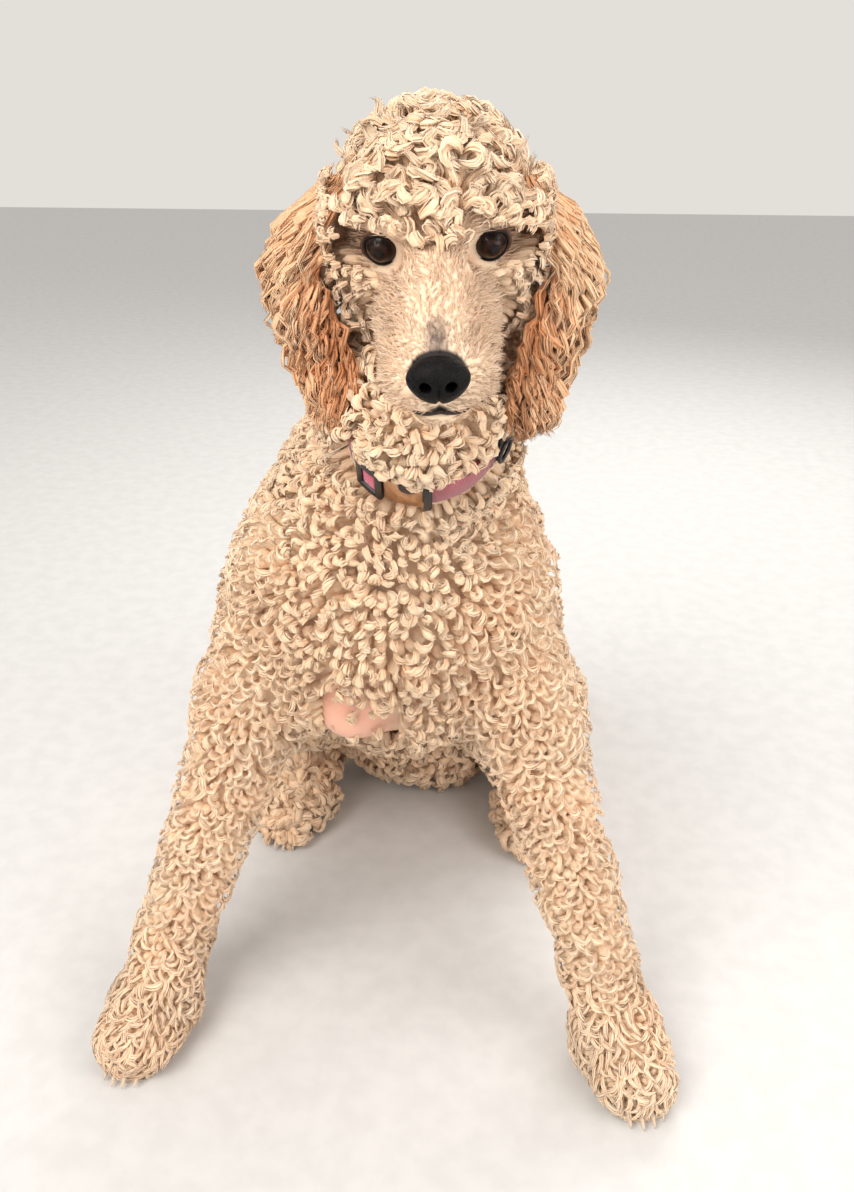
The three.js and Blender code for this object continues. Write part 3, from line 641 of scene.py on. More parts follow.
def coat_material(name, light, warm, warm_share, by_tone=0.0):
    """Hair: darker and warmer towards the root, which is painted shade deep in the coat, with fine lines
    along it.
    """
    nodes = Nodes(name)
    place = nodes.place()
    patch = nodes.noise(place, 16, 3, 0.55)
    fine = nodes.noise(place, 110, 2)
    tone = nodes.attribute("tone")
    amount = nodes.math("MULTIPLY_ADD", nodes.ramp(patch, 0.35, 0.65), 0.6, nodes.math("MULTIPLY", fine, 0.5))
    amount = nodes.math("MULTIPLY", amount, warm_share)
    # A low tone turns the hair warmer as well as darker; on the ears the tones carry painted shade under the
    # leaf and between the layers
    if by_tone:
        amount = nodes.math("MULTIPLY_ADD", nodes.ramp(tone, 0.0, 1.0, 1.0, 0.0), by_tone, amount)
    base = markings(nodes, nodes.mix(amount, light, warm))
    streak = nodes.noise(nodes.map("strand"), 1.0, 2, 0.6)
    # Painted shade: the colour is multiplied by SHADE towards the root, where the coat is deep and in shadow
    deep = nodes.ramp(nodes.attribute("tip"), 0.0, 0.7, 0.7, 0.0)
    base = nodes.mix(deep, base, nodes.mix(1.0, base, SHADE, "MULTIPLY"))
    tone = nodes.math("MULTIPLY_ADD", tone, 0.16, 0.92)
    base = nodes.mix(1.0, base, nodes.add("CombineColor", tone, tone, tone).outputs[0], "MULTIPLY")
    lines = nodes.ramp(streak, 0.3, 0.7, 0.7, 0.0)
    nodes.paint(nodes.mix(lines, base, nodes.mix(1.0, base, STREAK, "MULTIPLY")))
    nodes.bump(streak, 0.8, 0.0013)
    nodes.set(Roughness=0.6, Sheen_Weight=0.06, Sheen_Roughness=0.4, Specular_IOR_Level=0.2)
    nodes.set(Subsurface_Weight=0.15, Subsurface_Scale=0.004, Subsurface_Radius=(1.0, 0.7, 0.5))
    return nodes.material


coat_look = coat_material("coat", CREAM, APRICOT, 0.6)
face_look = coat_material("face_hair", colour(244, 219, 193), APRICOT, 0.5)
ear_look = coat_material("ear_hair", colour(255, 228, 194), RUST, 0.5, by_tone=0.8)


def skin_material():
    nodes = Nodes("skin")
    place = nodes.place()
    patch = nodes.noise(place, 16, 3, 0.55)
    base = nodes.mix(nodes.ramp(patch, 0.35, 0.65, 0.2, 0.6), colour(250, 224, 196), APRICOT)
    pores = nodes.noise(place, 900, 4, 0.7)
    base = nodes.mix(nodes.ramp(pores, 0.35, 0.7, 0.0, 0.12), base, PINK_SKIN)
    bare = blob(nodes, place, BARE_AT, BARE_RADII, 0.3)
    nodes.paint(markings(nodes, nodes.mix(nodes.math("MULTIPLY", bare, 0.9), base, PINK_SKIN)))
    nodes.bump(pores, 0.5, 0.0008)
    nodes.set(Roughness=0.7, Sheen_Weight=0.1, Specular_IOR_Level=0.25)
    nodes.set(Subsurface_Weight=0.4, Subsurface_Scale=0.006, Subsurface_Radius=(1.0, 0.7, 0.5))
    return nodes.material


skin_look = skin_material()


# The skin
def unwrap(numbers, points, which, guide=None):
    """Places on the map: each mass has a tile, with the way round it across and the way along it up.

    `which` is the mass of each point. A guide keeps the corners of a face together.
    """
    tiles = math.ceil(math.sqrt(len(numbers)))
    out = np.zeros((len(points), 2))
    for tile, number in enumerate(numbers):
        rows = np.nonzero(which == number)[0]
        if not len(rows):
            continue
        m = masses[number]
        along = unit(m.along)
        side = unit(m.side - (m.side @ along) * along)
        up = np.cross(along, side)
        o = points[rows] - m.a
        angle = np.arctan2(o @ up, o @ side)
        if guide is not None:
            g = guide[rows] - m.a
            middle = np.arctan2(g @ up, g @ side)
            angle = middle + (angle - middle + np.pi) % (2 * np.pi) - np.pi
        length = np.linalg.norm(m.along)
        far = max(m.r_from, m.r_to) * 1.2
        u = 0.5 + 0.92 * angle / (2 * np.pi)
        v = 0.04 + 0.92 * (o @ along + far) / (length + 2 * far)
        corner = np.array([tile % tiles, tile // tiles])
        out[rows] = (corner + np.clip(np.stack([u, v], axis=1), 0, 1)) / tiles
    return out


def build_skin():
    """One skin in place of the flesh, finest on the face and coarse on the body."""
    x = joined(spread(-300, -36, BODY_GRID), spread(-36, 128, HEAD_GRID), spread(128, 300, BODY_GRID))
    y = joined(spread(-570, -520, 2.4), spread(-520, -380, 2.0), spread(-380, -330, 3.5))
    y = joined(y, spread(-330, 240, BODY_GRID))
    z = joined(spread(-21, 560, BODY_GRID), spread(560, 720, HEAD_GRID), spread(720, 780, 5))
    points, quads = surface_of(face_field, (x, y, z))
    points = settle(face_field, points, 2)
    points[:, 2] = np.maximum(points[:, 2], LOWEST_SKIN)
    mesh = mesh_from("skin", points, quads)
    centre = points[quads].mean(axis=1)
    which = distances(centre).argmin(axis=0).repeat(4)
    corners = unwrap(range(len(masses)), points[quads.ravel()], which, np.repeat(centre, 4, axis=0))
    add_corner_map(mesh, "OFBake", corners)
    flesh = ["head", "neck", "chest", "rump", "tail"]
    flesh += [f"{leg}_{side}" for leg in ("foreleg", "hind_leg") for side, _ in SIDES]
    piece("skin", mesh, skin_look, flesh)
    return points, quads


skin_points, skin_quads = build_skin()


# Even roots: random places on a surface, none nearer to another than the spacing
def scatter(points, quads, number, rng):
    a, b, c, d = (points[quads[:, n]] for n in range(4))
    first = np.linalg.norm(np.cross(b - a, c - a), axis=1) / 2
    second = np.linalg.norm(np.cross(c - a, d - a), axis=1) / 2
    area = np.concatenate([first, second])
    corner = np.concatenate([np.stack([a, b, c], 1), np.stack([a, c, d], 1)])
    pick = np.searchsorted(np.cumsum(area), rng.random(number) * area.sum())
    u, v = np.sqrt(rng.random(number)), rng.random(number)
    share = np.stack([1 - u, u * (1 - v), u * v], axis=1)
    return np.einsum("ij,ijk->ik", share, corner[np.minimum(pick, len(area) - 1)]), area.sum()


def candidates(points, quads, gap, rng):
    """Random places on a surface, enough of them to thin out to the gap."""
    _, area = scatter(points, quads, 1, rng)
    return scatter(points, quads, int(TRIES * area / gap**2), rng)[0]


def thin_out(points, spacing):
    """Which points to keep so that none is nearer to a kept one than its own spacing."""
    cell = float(spacing.max())
    taken, kept = {}, []
    keys = np.floor(points / cell).astype(int).tolist()
    rows, gaps = points.tolist(), (spacing**2).tolist()
    near = [(i, j, k) for i in (-1, 0, 1) for j in (-1, 0, 1) for k in (-1, 0, 1)]
    for n, (key, p, gap) in enumerate(zip(keys, rows, gaps)):
        free = True
        for d in near:
            for q in taken.get((key[0] + d[0], key[1] + d[1], key[2] + d[2]), ()):
                if (p[0] - q[0]) ** 2 + (p[1] - q[1]) ** 2 + (p[2] - q[2]) ** 2 < gap:
                    free = False
                    break
            if not free:
                break
        if free:
            taken.setdefault(tuple(key), []).append(p)
            kept.append(n)
    return np.array(kept, int)


def sway(p, size, seed):
    """A smooth random value of about -1 to 1 that changes over `size`."""
    rng = np.random.default_rng([HAIR_SEED, seed])
    total = 0
    for _ in range(6):
        wave = rng.normal(size=3) * 2.2 / size
        total = total + np.cos(p @ wave + rng.random() * 2 * np.pi)
    return total / 2.2


def wander(p, size, seeds):
    """A smooth random direction, from three values of sway."""
    return np.stack([sway(p, size, seed) for seed in seeds], 1)


def falling(x, y, z, p, amount, size, seeds):
    """The ways that hair at `p` falls: given in the head's frame, with a smooth random part."""
    return np.stack([x, y, z], axis=1) @ axes_of(head_frame).T + amount * wander(p, size, seeds)


class Roots:
    """Roots on the skin, each with its tip on the coat's outer surface."""

    def __init__(self, root, tip, which):
        self.root, self.tip, self.which = root, tip, which
        self.out = unit(tip - root)
        self.long = np.linalg.norm(tip - root, axis=1)

    def __len__(self):
        return len(self.root)

    def of(self, keep):
        return Roots(self.root[keep], self.tip[keep], self.which[keep])

    def grown(self, scale):
        return Roots(self.root, self.root + (self.tip - self.root) * scale[:, None], self.which)

    def places(self):
        """Where each tuft lies on the map."""
        return unwrap(np.unique(self.which), self.root, self.which)


outer_lines = [spread(*reach, COAT_GRID) for reach in ((-330, 330), (-590, 290), (-40, 820))]
outer_points, outer_quads = surface_of(coat_field, outer_lines)


def band_place(p):
    """The angle round the collar, how far outside the band's inner face, and the height, of points."""
    q = to_local(collar_frame, p)
    reach = np.hypot(q[:, 0] / BAND["across"], q[:, 1] / BAND["deep"])
    angle = np.degrees(np.arctan2(q[:, 0] / BAND["across"], -q[:, 1] / BAND["deep"]))
    return angle, (reach - 1) * (BAND["across"] + BAND["deep"]) / 2, q[:, 2]


def shows(angle):
    """Whether the band shows at an angle. Elsewhere the coat hides it."""
    return (angle > OPEN_BAND[0]) & (angle < OPEN_BAND[1])


def beside_band(rise, inward=-40, outward=60):
    """Whether places are neither deep inside the neck nor far outside it."""
    return (rise > inward) & (rise < outward)


def region_at(p):
    return np.array([m.region for m in masses])[distances(p).argmin(axis=0)]


def even(gap):
    return lambda p: np.full(len(p), gap)


def tip_roots(spacing_of, seed, wanted):
    """Roots whose tips are evenly spaced over the coat's outer surface where `wanted` holds."""
    rng = np.random.default_rng([HAIR_SEED, seed])
    middle = outer_points[outer_quads].mean(axis=1)
    quads = outer_quads[wanted(region_at(middle), middle)]
    tips = candidates(outer_points, quads, float(np.min(spacing_of(middle))), rng)
    tips = tips[thin_out(tips, spacing_of(tips))]
    roots = settle(skin_field, tips, 4)
    return Roots(roots, tips, distances(roots).argmin(axis=0))


# Strands and tufts
def tubes(paths, half_wide, half_thick, toward, sides):
    """Closed, tapered strands along paths (strand, ring, 3). `toward` is the wide way at the tip."""
    n, m, _ = paths.shape
    along = np.empty_like(paths)
    along[:, 1:-1] = paths[:, 2:] - paths[:, :-2]
    along[:, 0] = paths[:, 1] - paths[:, 0]
    along[:, -1] = paths[:, -1] - paths[:, -2]
    along = unit(along)
    wide = np.empty_like(paths)
    for i in range(m - 1, -1, -1):
        toward = tangent(toward, along[:, i])
        wide[:, i] = toward
    thick = np.cross(along, wide)
    row = np.arange(sides)
    angle = 2 * np.pi * row / sides
    cos, sin = np.cos(angle)[None, None, :, None], np.sin(angle)[None, None, :, None]
    w, h = (np.maximum(half, 0.02)[:, :, None, None] for half in (half_wide, half_thick))
    ring = paths[:, :, None] + w * cos * wide[:, :, None] + h * sin * thick[:, :, None]
    points = np.concatenate([ring[:, :-1].reshape(n, -1, 3), paths[:, -1:]], axis=1)
    per = points.shape[1]
    last = (m - 2) * sides
    fan = np.stack([last + row, last + (row + 1) % sides, np.full(sides, per - 1)], 1)
    tris = np.concatenate([fan, [[0, i + 1, i] for i in range(1, sides - 1)]])
    start = (np.arange(n) * per)[:, None, None]
    run = np.cumsum(np.linalg.norm(np.diff(paths, axis=1), axis=2), axis=1)
    run = np.concatenate([np.zeros((n, 1)), run], 1)
    travel = np.concatenate([np.repeat(run[:, :-1], sides, axis=1), run[:, -1:]], axis=1)
    tip = np.concatenate([np.repeat(np.arange(m - 1) / (m - 1), sides), [1.0]])
    normal = unit(cos / w * wide[:, :, None] + sin / h * thick[:, :, None] + 0 * ring)
    normal = np.concatenate([normal[:, :-1].reshape(n, -1, 3), along[:, -1:]], axis=1)
    return {
        "points": points.reshape(-1, 3),
        "normal": normal.reshape(-1, 3),
        "quads": (ring_quads(m - 1, sides)[None] + start).reshape(-1, 4),
        "tris": (tris[None] + start).reshape(-1, 3),
        "round": np.tile(np.concatenate([np.tile(row / sides, m - 1), [0.5]]), n),
        "travel": travel.ravel(),
        "tip": np.tile(tip, n),
        "per": per,
        "number": n,
        "lines": max(2.0, 2 * math.pi * float(np.median(half_wide)) / LINE_WIDTH),
    }


def only(strands, kept):
    """The same set of strands without some of them."""
    number, per = int(kept.sum()), strands["per"]
    out = {"number": number, "per": per, "lines": strands["lines"]}
    for key in ("points", "normal", "round", "travel", "tip"):
        each = strands[key].reshape(len(kept), per, -1)[kept]
        out[key] = each.reshape(number * per, -1) if key in ("points", "normal") else each.ravel()
    for key in ("quads", "tris"):
        first = strands[key].reshape(len(kept), -1, strands[key].shape[1])[0]
        out[key] = (first[None] + (np.arange(number) * per)[:, None, None]).reshape(-1, first.shape[1])
    return out


class Coat:
    """One piece of the coat, gathered from sets of strands.

    Each strand belongs to a tuft, its owner. A tuft has a place on the map, a way out and a tone.
    """

    def __init__(self, name, seed, material=coat_look, slot="coat"):
        self.name, self.material, self.slot = name, material, slot
        self.rng = np.random.default_rng([HAIR_SEED, seed])
        self.sets = []

    def tones(self, base, number, spread=0.15):
        return np.clip(base + self.rng.normal(0, spread, number), 0, 1)

    # `tips` is where a set's strands start and end on the ramp from root to tip, which sets how much painted
    # shade their roots get
    def add(self, strands, owner, places, outward, tones, tips):
        self.sets.append((strands, owner, places, outward, tones, tips))

    def add_bundles(self, made, places, outward, tones, tips=(0.3, 1.0)):
        core, loose, owner = made
        self.add(core, np.arange(core["number"]), places, outward, tones, tips)
        self.add(loose, owner, places, outward, tones, tips)

    def add_puffs(self, roots, keep, gap, places, tones, high, deepest=22.0):
        low = roots.of(keep)
        made = puffs(low, gap(low.tip), self.rng, high, deepest)
        # Puffs run only from 0.35 to 0.8 on the ramp, so most of each puff carries the painted shade of the
        # coat's depth
        self.add(made, np.arange(len(low)), places[keep], low.out, tones[keep], (0.35, 0.8))

    def keep_off_eyes(self, grow, cone=0.012):
        """Drops the strands that would hang before an eye."""
        kept_sets = []
        for strands, owner, *rest in self.sets:
            clear = eye_clear(strands["points"], grow, cone)
            clear = clear.reshape(strands["number"], strands["per"]).all(axis=1)
            kept_sets.append((only(strands, clear), owner[clear], *rest))
        self.sets = kept_sets

    def build(self):
        points, quads, tris, bake, strand, tone, tip, normal = [], [], [], [], [], [], [], []
        base = 0
        for strands, owner, places, outward, tones, tips in self.sets:
            per, number = strands["per"], strands["number"]
            tufts = np.repeat(owner, per)
            spot = np.stack([strands["round"] - 0.5, strands["tip"] - 0.5], axis=1) * PATCH
            points.append(strands["points"])
            quads.append(strands["quads"] + base)
            tris.append(strands["tris"] + base)
            bake.append(places[tufts] + spot)
            shift = np.repeat(self.rng.random(number) * 100, per)
            across = strands["round"] * strands["lines"] + shift
            strand.append(np.stack([across, strands["travel"] * STRAND_RUN], 1))
            tone.append(np.repeat(self.tones(tones[owner], number, 0.12), per))
            tip.append(tips[0] + (tips[1] - tips[0]) * strands["tip"])
            normal.append(unit(strands["normal"] + SOFT * outward[tufts]))
            base += len(strands["points"])
        points = clear_eyes(clear_band(np.concatenate(points)))
        points[:, 2] = np.maximum(points[:, 2], LOWEST_HAIR)
        mesh = mesh_from(self.name, points, np.concatenate(quads), np.concatenate(tris))
        add_map(mesh, "OFBake", np.clip(np.concatenate(bake), 0, 1))
        add_map(mesh, "strand", np.concatenate(strand))
        add_value(mesh, "tone", np.concatenate(tone))
        add_value(mesh, "tip", np.concatenate(tip))
        mesh.normals_split_custom_set_from_vertices(np.concatenate(normal))
        piece(self.name, mesh, self.material)


def tangent(direction, normal):
    """A direction with its part along the unit normal taken out."""
    return unit(direction - dot(direction, normal)[:, None] * normal)


def sideways(axis, rng):
    return unit(np.cross(axis, rng.normal(size=axis.shape)))


def turned(v, axis, angle):
    """Vectors turned about unit axes."""
    cos, sin = np.cos(angle)[..., None], np.sin(angle)[..., None]
    along = np.einsum("...i,...i->...", axis, v)[..., None]
    return v * cos + np.cross(axis, v) * sin + axis * along * (1 - cos)


def puffs(roots, spacing, rng, high, deepest):
    """The dense lower part of each tuft: a rounded clump that fills the coat under the curls."""
    n = len(roots)
    long = np.minimum(roots.long, deepest)
    foot = roots.tip - roots.out * long[:, None]
    reach = high * rng.uniform(0.82, 1.1, n)
    share = np.array(PUFF_HIGH)[None] * reach[:, None]
    paths = foot[:, None] + roots.out[:, None] * (long[:, None] * share)[:, :, None]
    lean = sideways(roots.out, rng) * (spacing * 0.3)[:, None]
    paths = paths + lean[:, None] * np.array(PUFF_HIGH)[None, :, None]
    size = spacing[:, None] * np.array(PUFF_WIDE)[None] * rng.uniform(0.9, 1.15, (n, 1))
    return tubes(paths, size, size, sideways(roots.out, rng), 4)


def bundles(spine, about, radius, rng, *, flat=0.6, strands=3, fray=1.0, full=0.85):
    """Tapered locks: a soft core along each spine, with strands round it that fray towards the tip."""
    n, rings, _ = spine.shape
    owner = np.repeat(np.arange(n), strands)
    k = len(owner)
    s = np.linspace(0, 1, rings)
    along = unit(np.gradient(spine, axis=1))
    first = unit(about[:, None] - np.einsum("ij,ikj->ik", about, along)[:, :, None] * along)
    second = np.cross(along, first)
    wide = radius[:, None] * np.interp(s, [0, 0.25, 0.5, 0.8, 1], [0.4, 1, 0.88, 0.5, 0.08])[None]
    core = tubes(spine, wide * full, wide * full * flat, first[:, -1], 4)
    turn = np.tile(np.arange(strands) * 2 * np.pi / strands, n)[:, None] + rng.normal(0, 0.5, (k, 1))
    turn = turn + rng.normal(0, 0.6, (k, 1)) * s[None]
    apart = wide[owner] + fray * rng.uniform(0.2, 1.1, (k, 1)) * s[None] ** 2
    u = 0.92 * apart * np.cos(turn)
    v = 0.92 * apart * flat * np.sin(turn)
    path = spine[owner] + first[owner] * u[:, :, None] + second[owner] * v[:, :, None]
    shift = along[owner][:, -1] * rng.uniform(-2.0, 2.2, (k, 1))
    path = path + shift[:, None] * (s**2)[None, :, None]
    thin = radius[owner][:, None] * rng.uniform(0.2, 0.32, (k, 1))
    thin = thin * np.interp(s, [0, 0.2, 0.7, 1], [0.85, 1, 0.75, 0.12])[None]
    return core, tubes(path, thin, thin * 0.8, first[owner][:, -1], 3), owner


def curls(roots, lie, rng, *, length, turn, radius, rings=9, tilts=(-0.3, 1.5), **kind):
    """Fat curls that roll over or lie flat as hooks and snails, at the coat's outer surface."""
    n = len(roots)
    s = np.linspace(0, 1, rings)
    side = unit(np.cross(lie, roots.out))
    tilt = rng.uniform(*tilts, n)[:, None]
    flip = np.where(rng.random(n) < 0.5, -1, 1)[:, None]
    about = unit(side * np.cos(tilt) + flip * roots.out * np.sin(tilt))
    first = unit(roots.out * (1.15 - np.abs(np.sin(tilt))) + lie * np.abs(np.sin(tilt)))
    angle = -rng.uniform(*turn, n)[:, None] * smooth_step(0.05, 1.0, s)[None]
    heading = turned(first[:, None], about[:, None], angle)
    step = heading * (rng.uniform(*length, n) / (rings - 1))[:, None, None]
    spine = np.concatenate([np.zeros((n, 1, 3)), np.cumsum(step[:, 1:], axis=1)], 1)
    high = np.einsum("ikj,ij->ik", spine, roots.out)
    aside = spine - high[:, :, None] * roots.out[:, None]
    size = radius * rng.uniform(0.8, 1.15, n)
    start = roots.tip - roots.out * (high.max(axis=1) + 0.4 * size)[:, None] - 0.7 * aside.mean(axis=1)
    spine = spine + start[:, None]
    spine[:, 0] -= roots.out * 3
    wide_way = unit(np.cross(roots.out, heading[:, -1]) + 0.3 * about)
    return bundles(spine, wide_way, size, rng, **kind)


def bends(hook, n, rng):
    """How far each tuft turns by its tip, to one side or the other."""
    return hook * rng.uniform(0.5, 1.2, n) * np.where(rng.random(n) < 0.5, -1, 1)


def rising(out, lie, rise, s):
    """Headings that leave the skin along `out` and turn to lie along `lie`."""
    turn = smooth_step(rise * 0.35, rise * 1.5, s)[None, :, None]
    return unit(out[:, None] * (1 - turn) + lie[:, None] * turn)


def waves(roots, lie, rng):
    """Long wavy locks of the topknot, which leave the skin outward, lie down, and curl at the end."""
    n, rings = len(roots), 11
    length = roots.long * rng.uniform(1.0, 1.2, n) + 3
    s = np.linspace(0, 1, rings)
    heading = rising(roots.out, lie, 0.55, s)
    side = unit(np.cross(lie, roots.out))
    about = unit(roots.out * rng.uniform(0.2, 1, (n, 1)) + side * rng.normal(0, 0.8, (n, 1)))
    bend = bends(3.0, n, rng)[:, None] * smooth_step(0.35, 1.15, s)[None]
    heading = turned(heading, about[:, None], bend)
    run = s[None] * length[:, None] / 19.0 * 2 * np.pi + rng.random((n, 1)) * 2 * np.pi
    swing = 2.8 * rng.uniform(0.7, 1.3, (n, 1)) * np.minimum(s * 3, 1)[None]
    spine = roots.root[:, None] + np.cumsum(heading * (length / (rings - 1))[:, None, None], axis=1)
    spine = spine + side[:, None] * (swing * np.sin(run))[:, :, None]
    spine = spine + roots.out[:, None] * (0.5 * swing * np.cos(run))[:, :, None]
    return bundles(spine, side, 4.2 * rng.uniform(0.75, 1.2, n), rng, strands=5, fray=1.8)


def short_hair(roots, lie, length, rng):
    """Pairs of short hairs of the face, which turn at once to lie along `lie` and hook a little."""
    n, rings, strands = len(roots), 5, 2
    wavelength, swings, hook, loose, reach = 8.0, 0.5, 0.5, 0.25, 0.52
    owner = np.repeat(np.arange(n), strands)
    k = len(owner)
    s = np.linspace(0, 1, rings)
    out, lie = roots.out[owner], unit(lie[owner] + loose * 0.5 * rng.normal(size=(k, 3)))
    heading = rising(out, lie, 0.2, s)
    side = unit(np.cross(lie, out))
    lean = rng.normal(0, 0.45, (n, 1))[owner] + loose * rng.normal(0, 0.6, (k, 1))
    about = unit(out + side * lean)[:, None]
    bend = bends(hook, n, rng)[owner] + loose * hook * rng.normal(0, 0.7, k)
    bend = bend[:, None] * smooth_step(0.3, 1.15, s)[None]
    heading = turned(heading, about, bend)
    side = turned(side[:, None], about, bend)
    up = np.cross(side, heading)
    phase = rng.random(n)[:, None] * 2 * np.pi
    run = s[None] * length[:, None] / wavelength * 2 * np.pi
    swing = (swings * rng.uniform(0.7, 1.3, n))[:, None] * np.minimum(s * 3, 1)[None]
    long = length[owner] * rng.uniform(0.78, 1.12, k)
    steps = np.cumsum((heading * (long / (rings - 1))[:, None, None])[:, 1:], axis=1)
    spine = roots.root[owner][:, None] + np.concatenate([np.zeros((k, 1, 3)), steps], 1)
    fan = np.interp(s, [0, 0.3, 0.7, 1], [0.55, 1, 0.9, 0.35])[None]
    stray = rng.random(k)[:, None] * 2 * np.pi
    own = run[owner] * 1.7 + stray
    u = rng.uniform(-0.5, 0.5, (k, 1)) * 2.0 * fan
    u = u + swing[owner] * (np.sin(run + phase)[owner] + 0.25 * np.sin(own))
    v = rng.uniform(-0.5, 0.5, (k, 1)) * 1.0 * fan
    v = v + swing[owner] * (0.6 * np.cos(run + phase)[owner] + 0.25 * np.cos(own))
    paths = spine + side * u[:, :, None] + up * v[:, :, None]
    taper = np.interp(s, [0, 0.15, 0.7, 1], [0.8, 1, 0.8, 0.2])[None]
    radius = reach * rng.uniform(0.75, 1.25, (k, 1)) * taper
    return tubes(paths, radius, radius * 0.5, side[:, -1], 3), owner


# What the coat keeps clear of
def press_back(roots):
    """Shortens the coat under the band, beside the buckle and over it."""
    angle, rise, z = band_place(roots.tip)
    root_rise = band_place(roots.root)[1]
    beside = np.abs(z) - BAND["half"]
    limit = np.full(len(rise), np.inf)
    for start, end, only_above, near, most in LOW_COAT:
        place = beside_band(rise) & (angle > start) & (angle < end) & (beside < near)
        place &= (z > 0) | (not only_above)
        limit = np.where(place, most, limit)
    share = np.clip((limit - root_rise) / np.maximum(rise - root_rise, 1), 0.08, 1)
    return roots.grown(share)


def clear_band(points):
    """Moves hair out of the band: over its upper edge, under its lower one, or behind it."""
    near = np.nonzero(np.linalg.norm(points - np.array(COLLAR_AT), axis=1) < 110)[0]
    q = to_local(collar_frame, points[near])
    radius = np.hypot(q[:, 0], q[:, 1])
    inner = radius / np.hypot(q[:, 0] / BAND["across"], q[:, 1] / BAND["deep"])
    rise = radius - inner
    half = BAND["half"]
    angle = np.degrees(np.arctan2(q[:, 0] / BAND["across"], -q[:, 1] / BAND["deep"]))
    inside = (np.abs(q[:, 2]) < half + 0.6) & (rise > -1.2) & (shows(angle) | (rise < 9))
    top = inside & (q[:, 2] > half - 4)
    low = inside & (q[:, 2] < -half + 3)
    behind = inside & ~top & ~low
    over = np.maximum(rise, BAND["thick"] + BAND_CLEAR)
    new_rise = np.where(top, over, np.where(behind, -1.4, rise))
    q[:, :2] *= ((inner + new_rise) / radius)[:, None]
    q[:, 2] = np.where(low, -half - BAND_CLEAR, q[:, 2])
    points[near] = to_world(collar_frame, q)
    return points


def clear_eyes(points):
    """Moves hair aside from in front of the eyes' openings."""
    for _, s in SIDES:
        where = eye_frame(s)
        near = np.nonzero(np.linalg.norm(points - np.array(where.translation), axis=1) < 60)[0]
        q = to_local(where, points[near])
        reach = np.hypot(q[:, 0] / APERTURE[0], q[:, 2] / APERTURE[1])
        push = np.where((q[:, 1] < 0) & (reach < EYE_MARGIN), EYE_MARGIN / np.maximum(reach, 0.05), 1)
        q[:, 0] *= push
        q[:, 2] *= push
        points[near] = to_world(where, q)
    return points


def eye_clear(p, grow, cone=0.0):
    """Where a place is outside both eyes' openings, larger by `grow` and by `cone` per millimetre ahead."""
    ok = np.ones(len(p), bool)
    for _, s in SIDES:
        q = to_local(eye_frame(s), p)
        ahead = np.maximum(-q[:, 1] - EYE_RADIUS, 0)
        sight = to_local(eye_frame(s), np.array([VIEWER]))[0]
        x = q[:, 0] + sight[0] / sight[1] * ahead
        z = q[:, 2] + sight[2] / sight[1] * ahead
        away = np.hypot(x / APERTURE[0], z / APERTURE[1]) > grow + cone * ahead
        ok &= away | (q[:, 1] > 4) | (q[:, 1] < -EYE_DEEP)
    return ok


def bare(p):
    """1 on the thinly haired skin under the brisket, and 0 away from it."""
    away = np.linalg.norm((p - np.array(BARE_AT)) / np.array(BARE_RADII), axis=1)
    return 1 - smooth_step(0.8, 1.2, away)


def lifted(roots, most):
    """Roots moved up towards their tips, so that none is longer than `most`, and turned to stand out."""
    long = np.minimum(roots.long, most)
    out = unit(0.5 * roots.out + 0.7 * unit(gradient(coat_field, roots.tip, 4.0)))
    return Roots(roots.tip - out * long[:, None], roots.tip, roots.which)


# The coat
def curly(name, region, spacing, seed, strands=3, wanted=None):
    """A coat of ringlets. The spacing goes from the one low on the body to the one high up."""
    def here(regions, middle):
        ok = (regions == region) & (middle[:, 2] > 2)
        return ok & wanted(middle) if wanted else ok

    def gap(p):
        usual = spacing[0] + (spacing[1] - spacing[0]) * smooth_step(330, 520, p[:, 2])
        angle, rise, z = band_place(p)
        near = (np.abs(z) < BAND["half"] + 40) & beside_band(rise, -30, 50) & (np.abs(angle) < 95)
        return np.where(near, np.minimum(usual, COLLAR_GAP), usual)

    coat = Coat(name, seed)
    roots = tip_roots(gap, seed, here)
    rng = coat.rng
    roots = roots.of(rng.random(len(roots)) > 0.9 * bare(roots.root))
    roots = roots.grown((0.97 + 0.09 * sway(roots.tip, 26, 1)) * (1 - 0.6 * bare(roots.root)))
    roots = press_back(roots)
    n = len(roots)
    places = roots.places()
    tones = coat.tones(0.5 + 0.3 * sway(roots.root, 40, 2), n)
    angle, rise, z = band_place(roots.tip)
    off = (np.abs(z) > BAND["half"] + 9) | ~beside_band(rise) | ~shows(angle)
    coat.add_puffs(roots, off & (bare(roots.root) < 0.3), gap, places, tones, 0.6)
    big = float((gap(roots.tip) / 9.0).mean())
    down = np.array([0, 0, -0.7]) + 0.9 * rng.normal(size=(n, 3))
    top = lifted(roots, RINGLET_DEEP)
    made = curls(
        top, tangent(down, top.out), rng, length=(14 * big, 22 * big), turn=(2.0, 5.2), radius=4.1 * big,
        rings=8, strands=strands, fray=1.6,
    )
    coat.add_bundles(made, places, top.out, tones)
    coat.build()


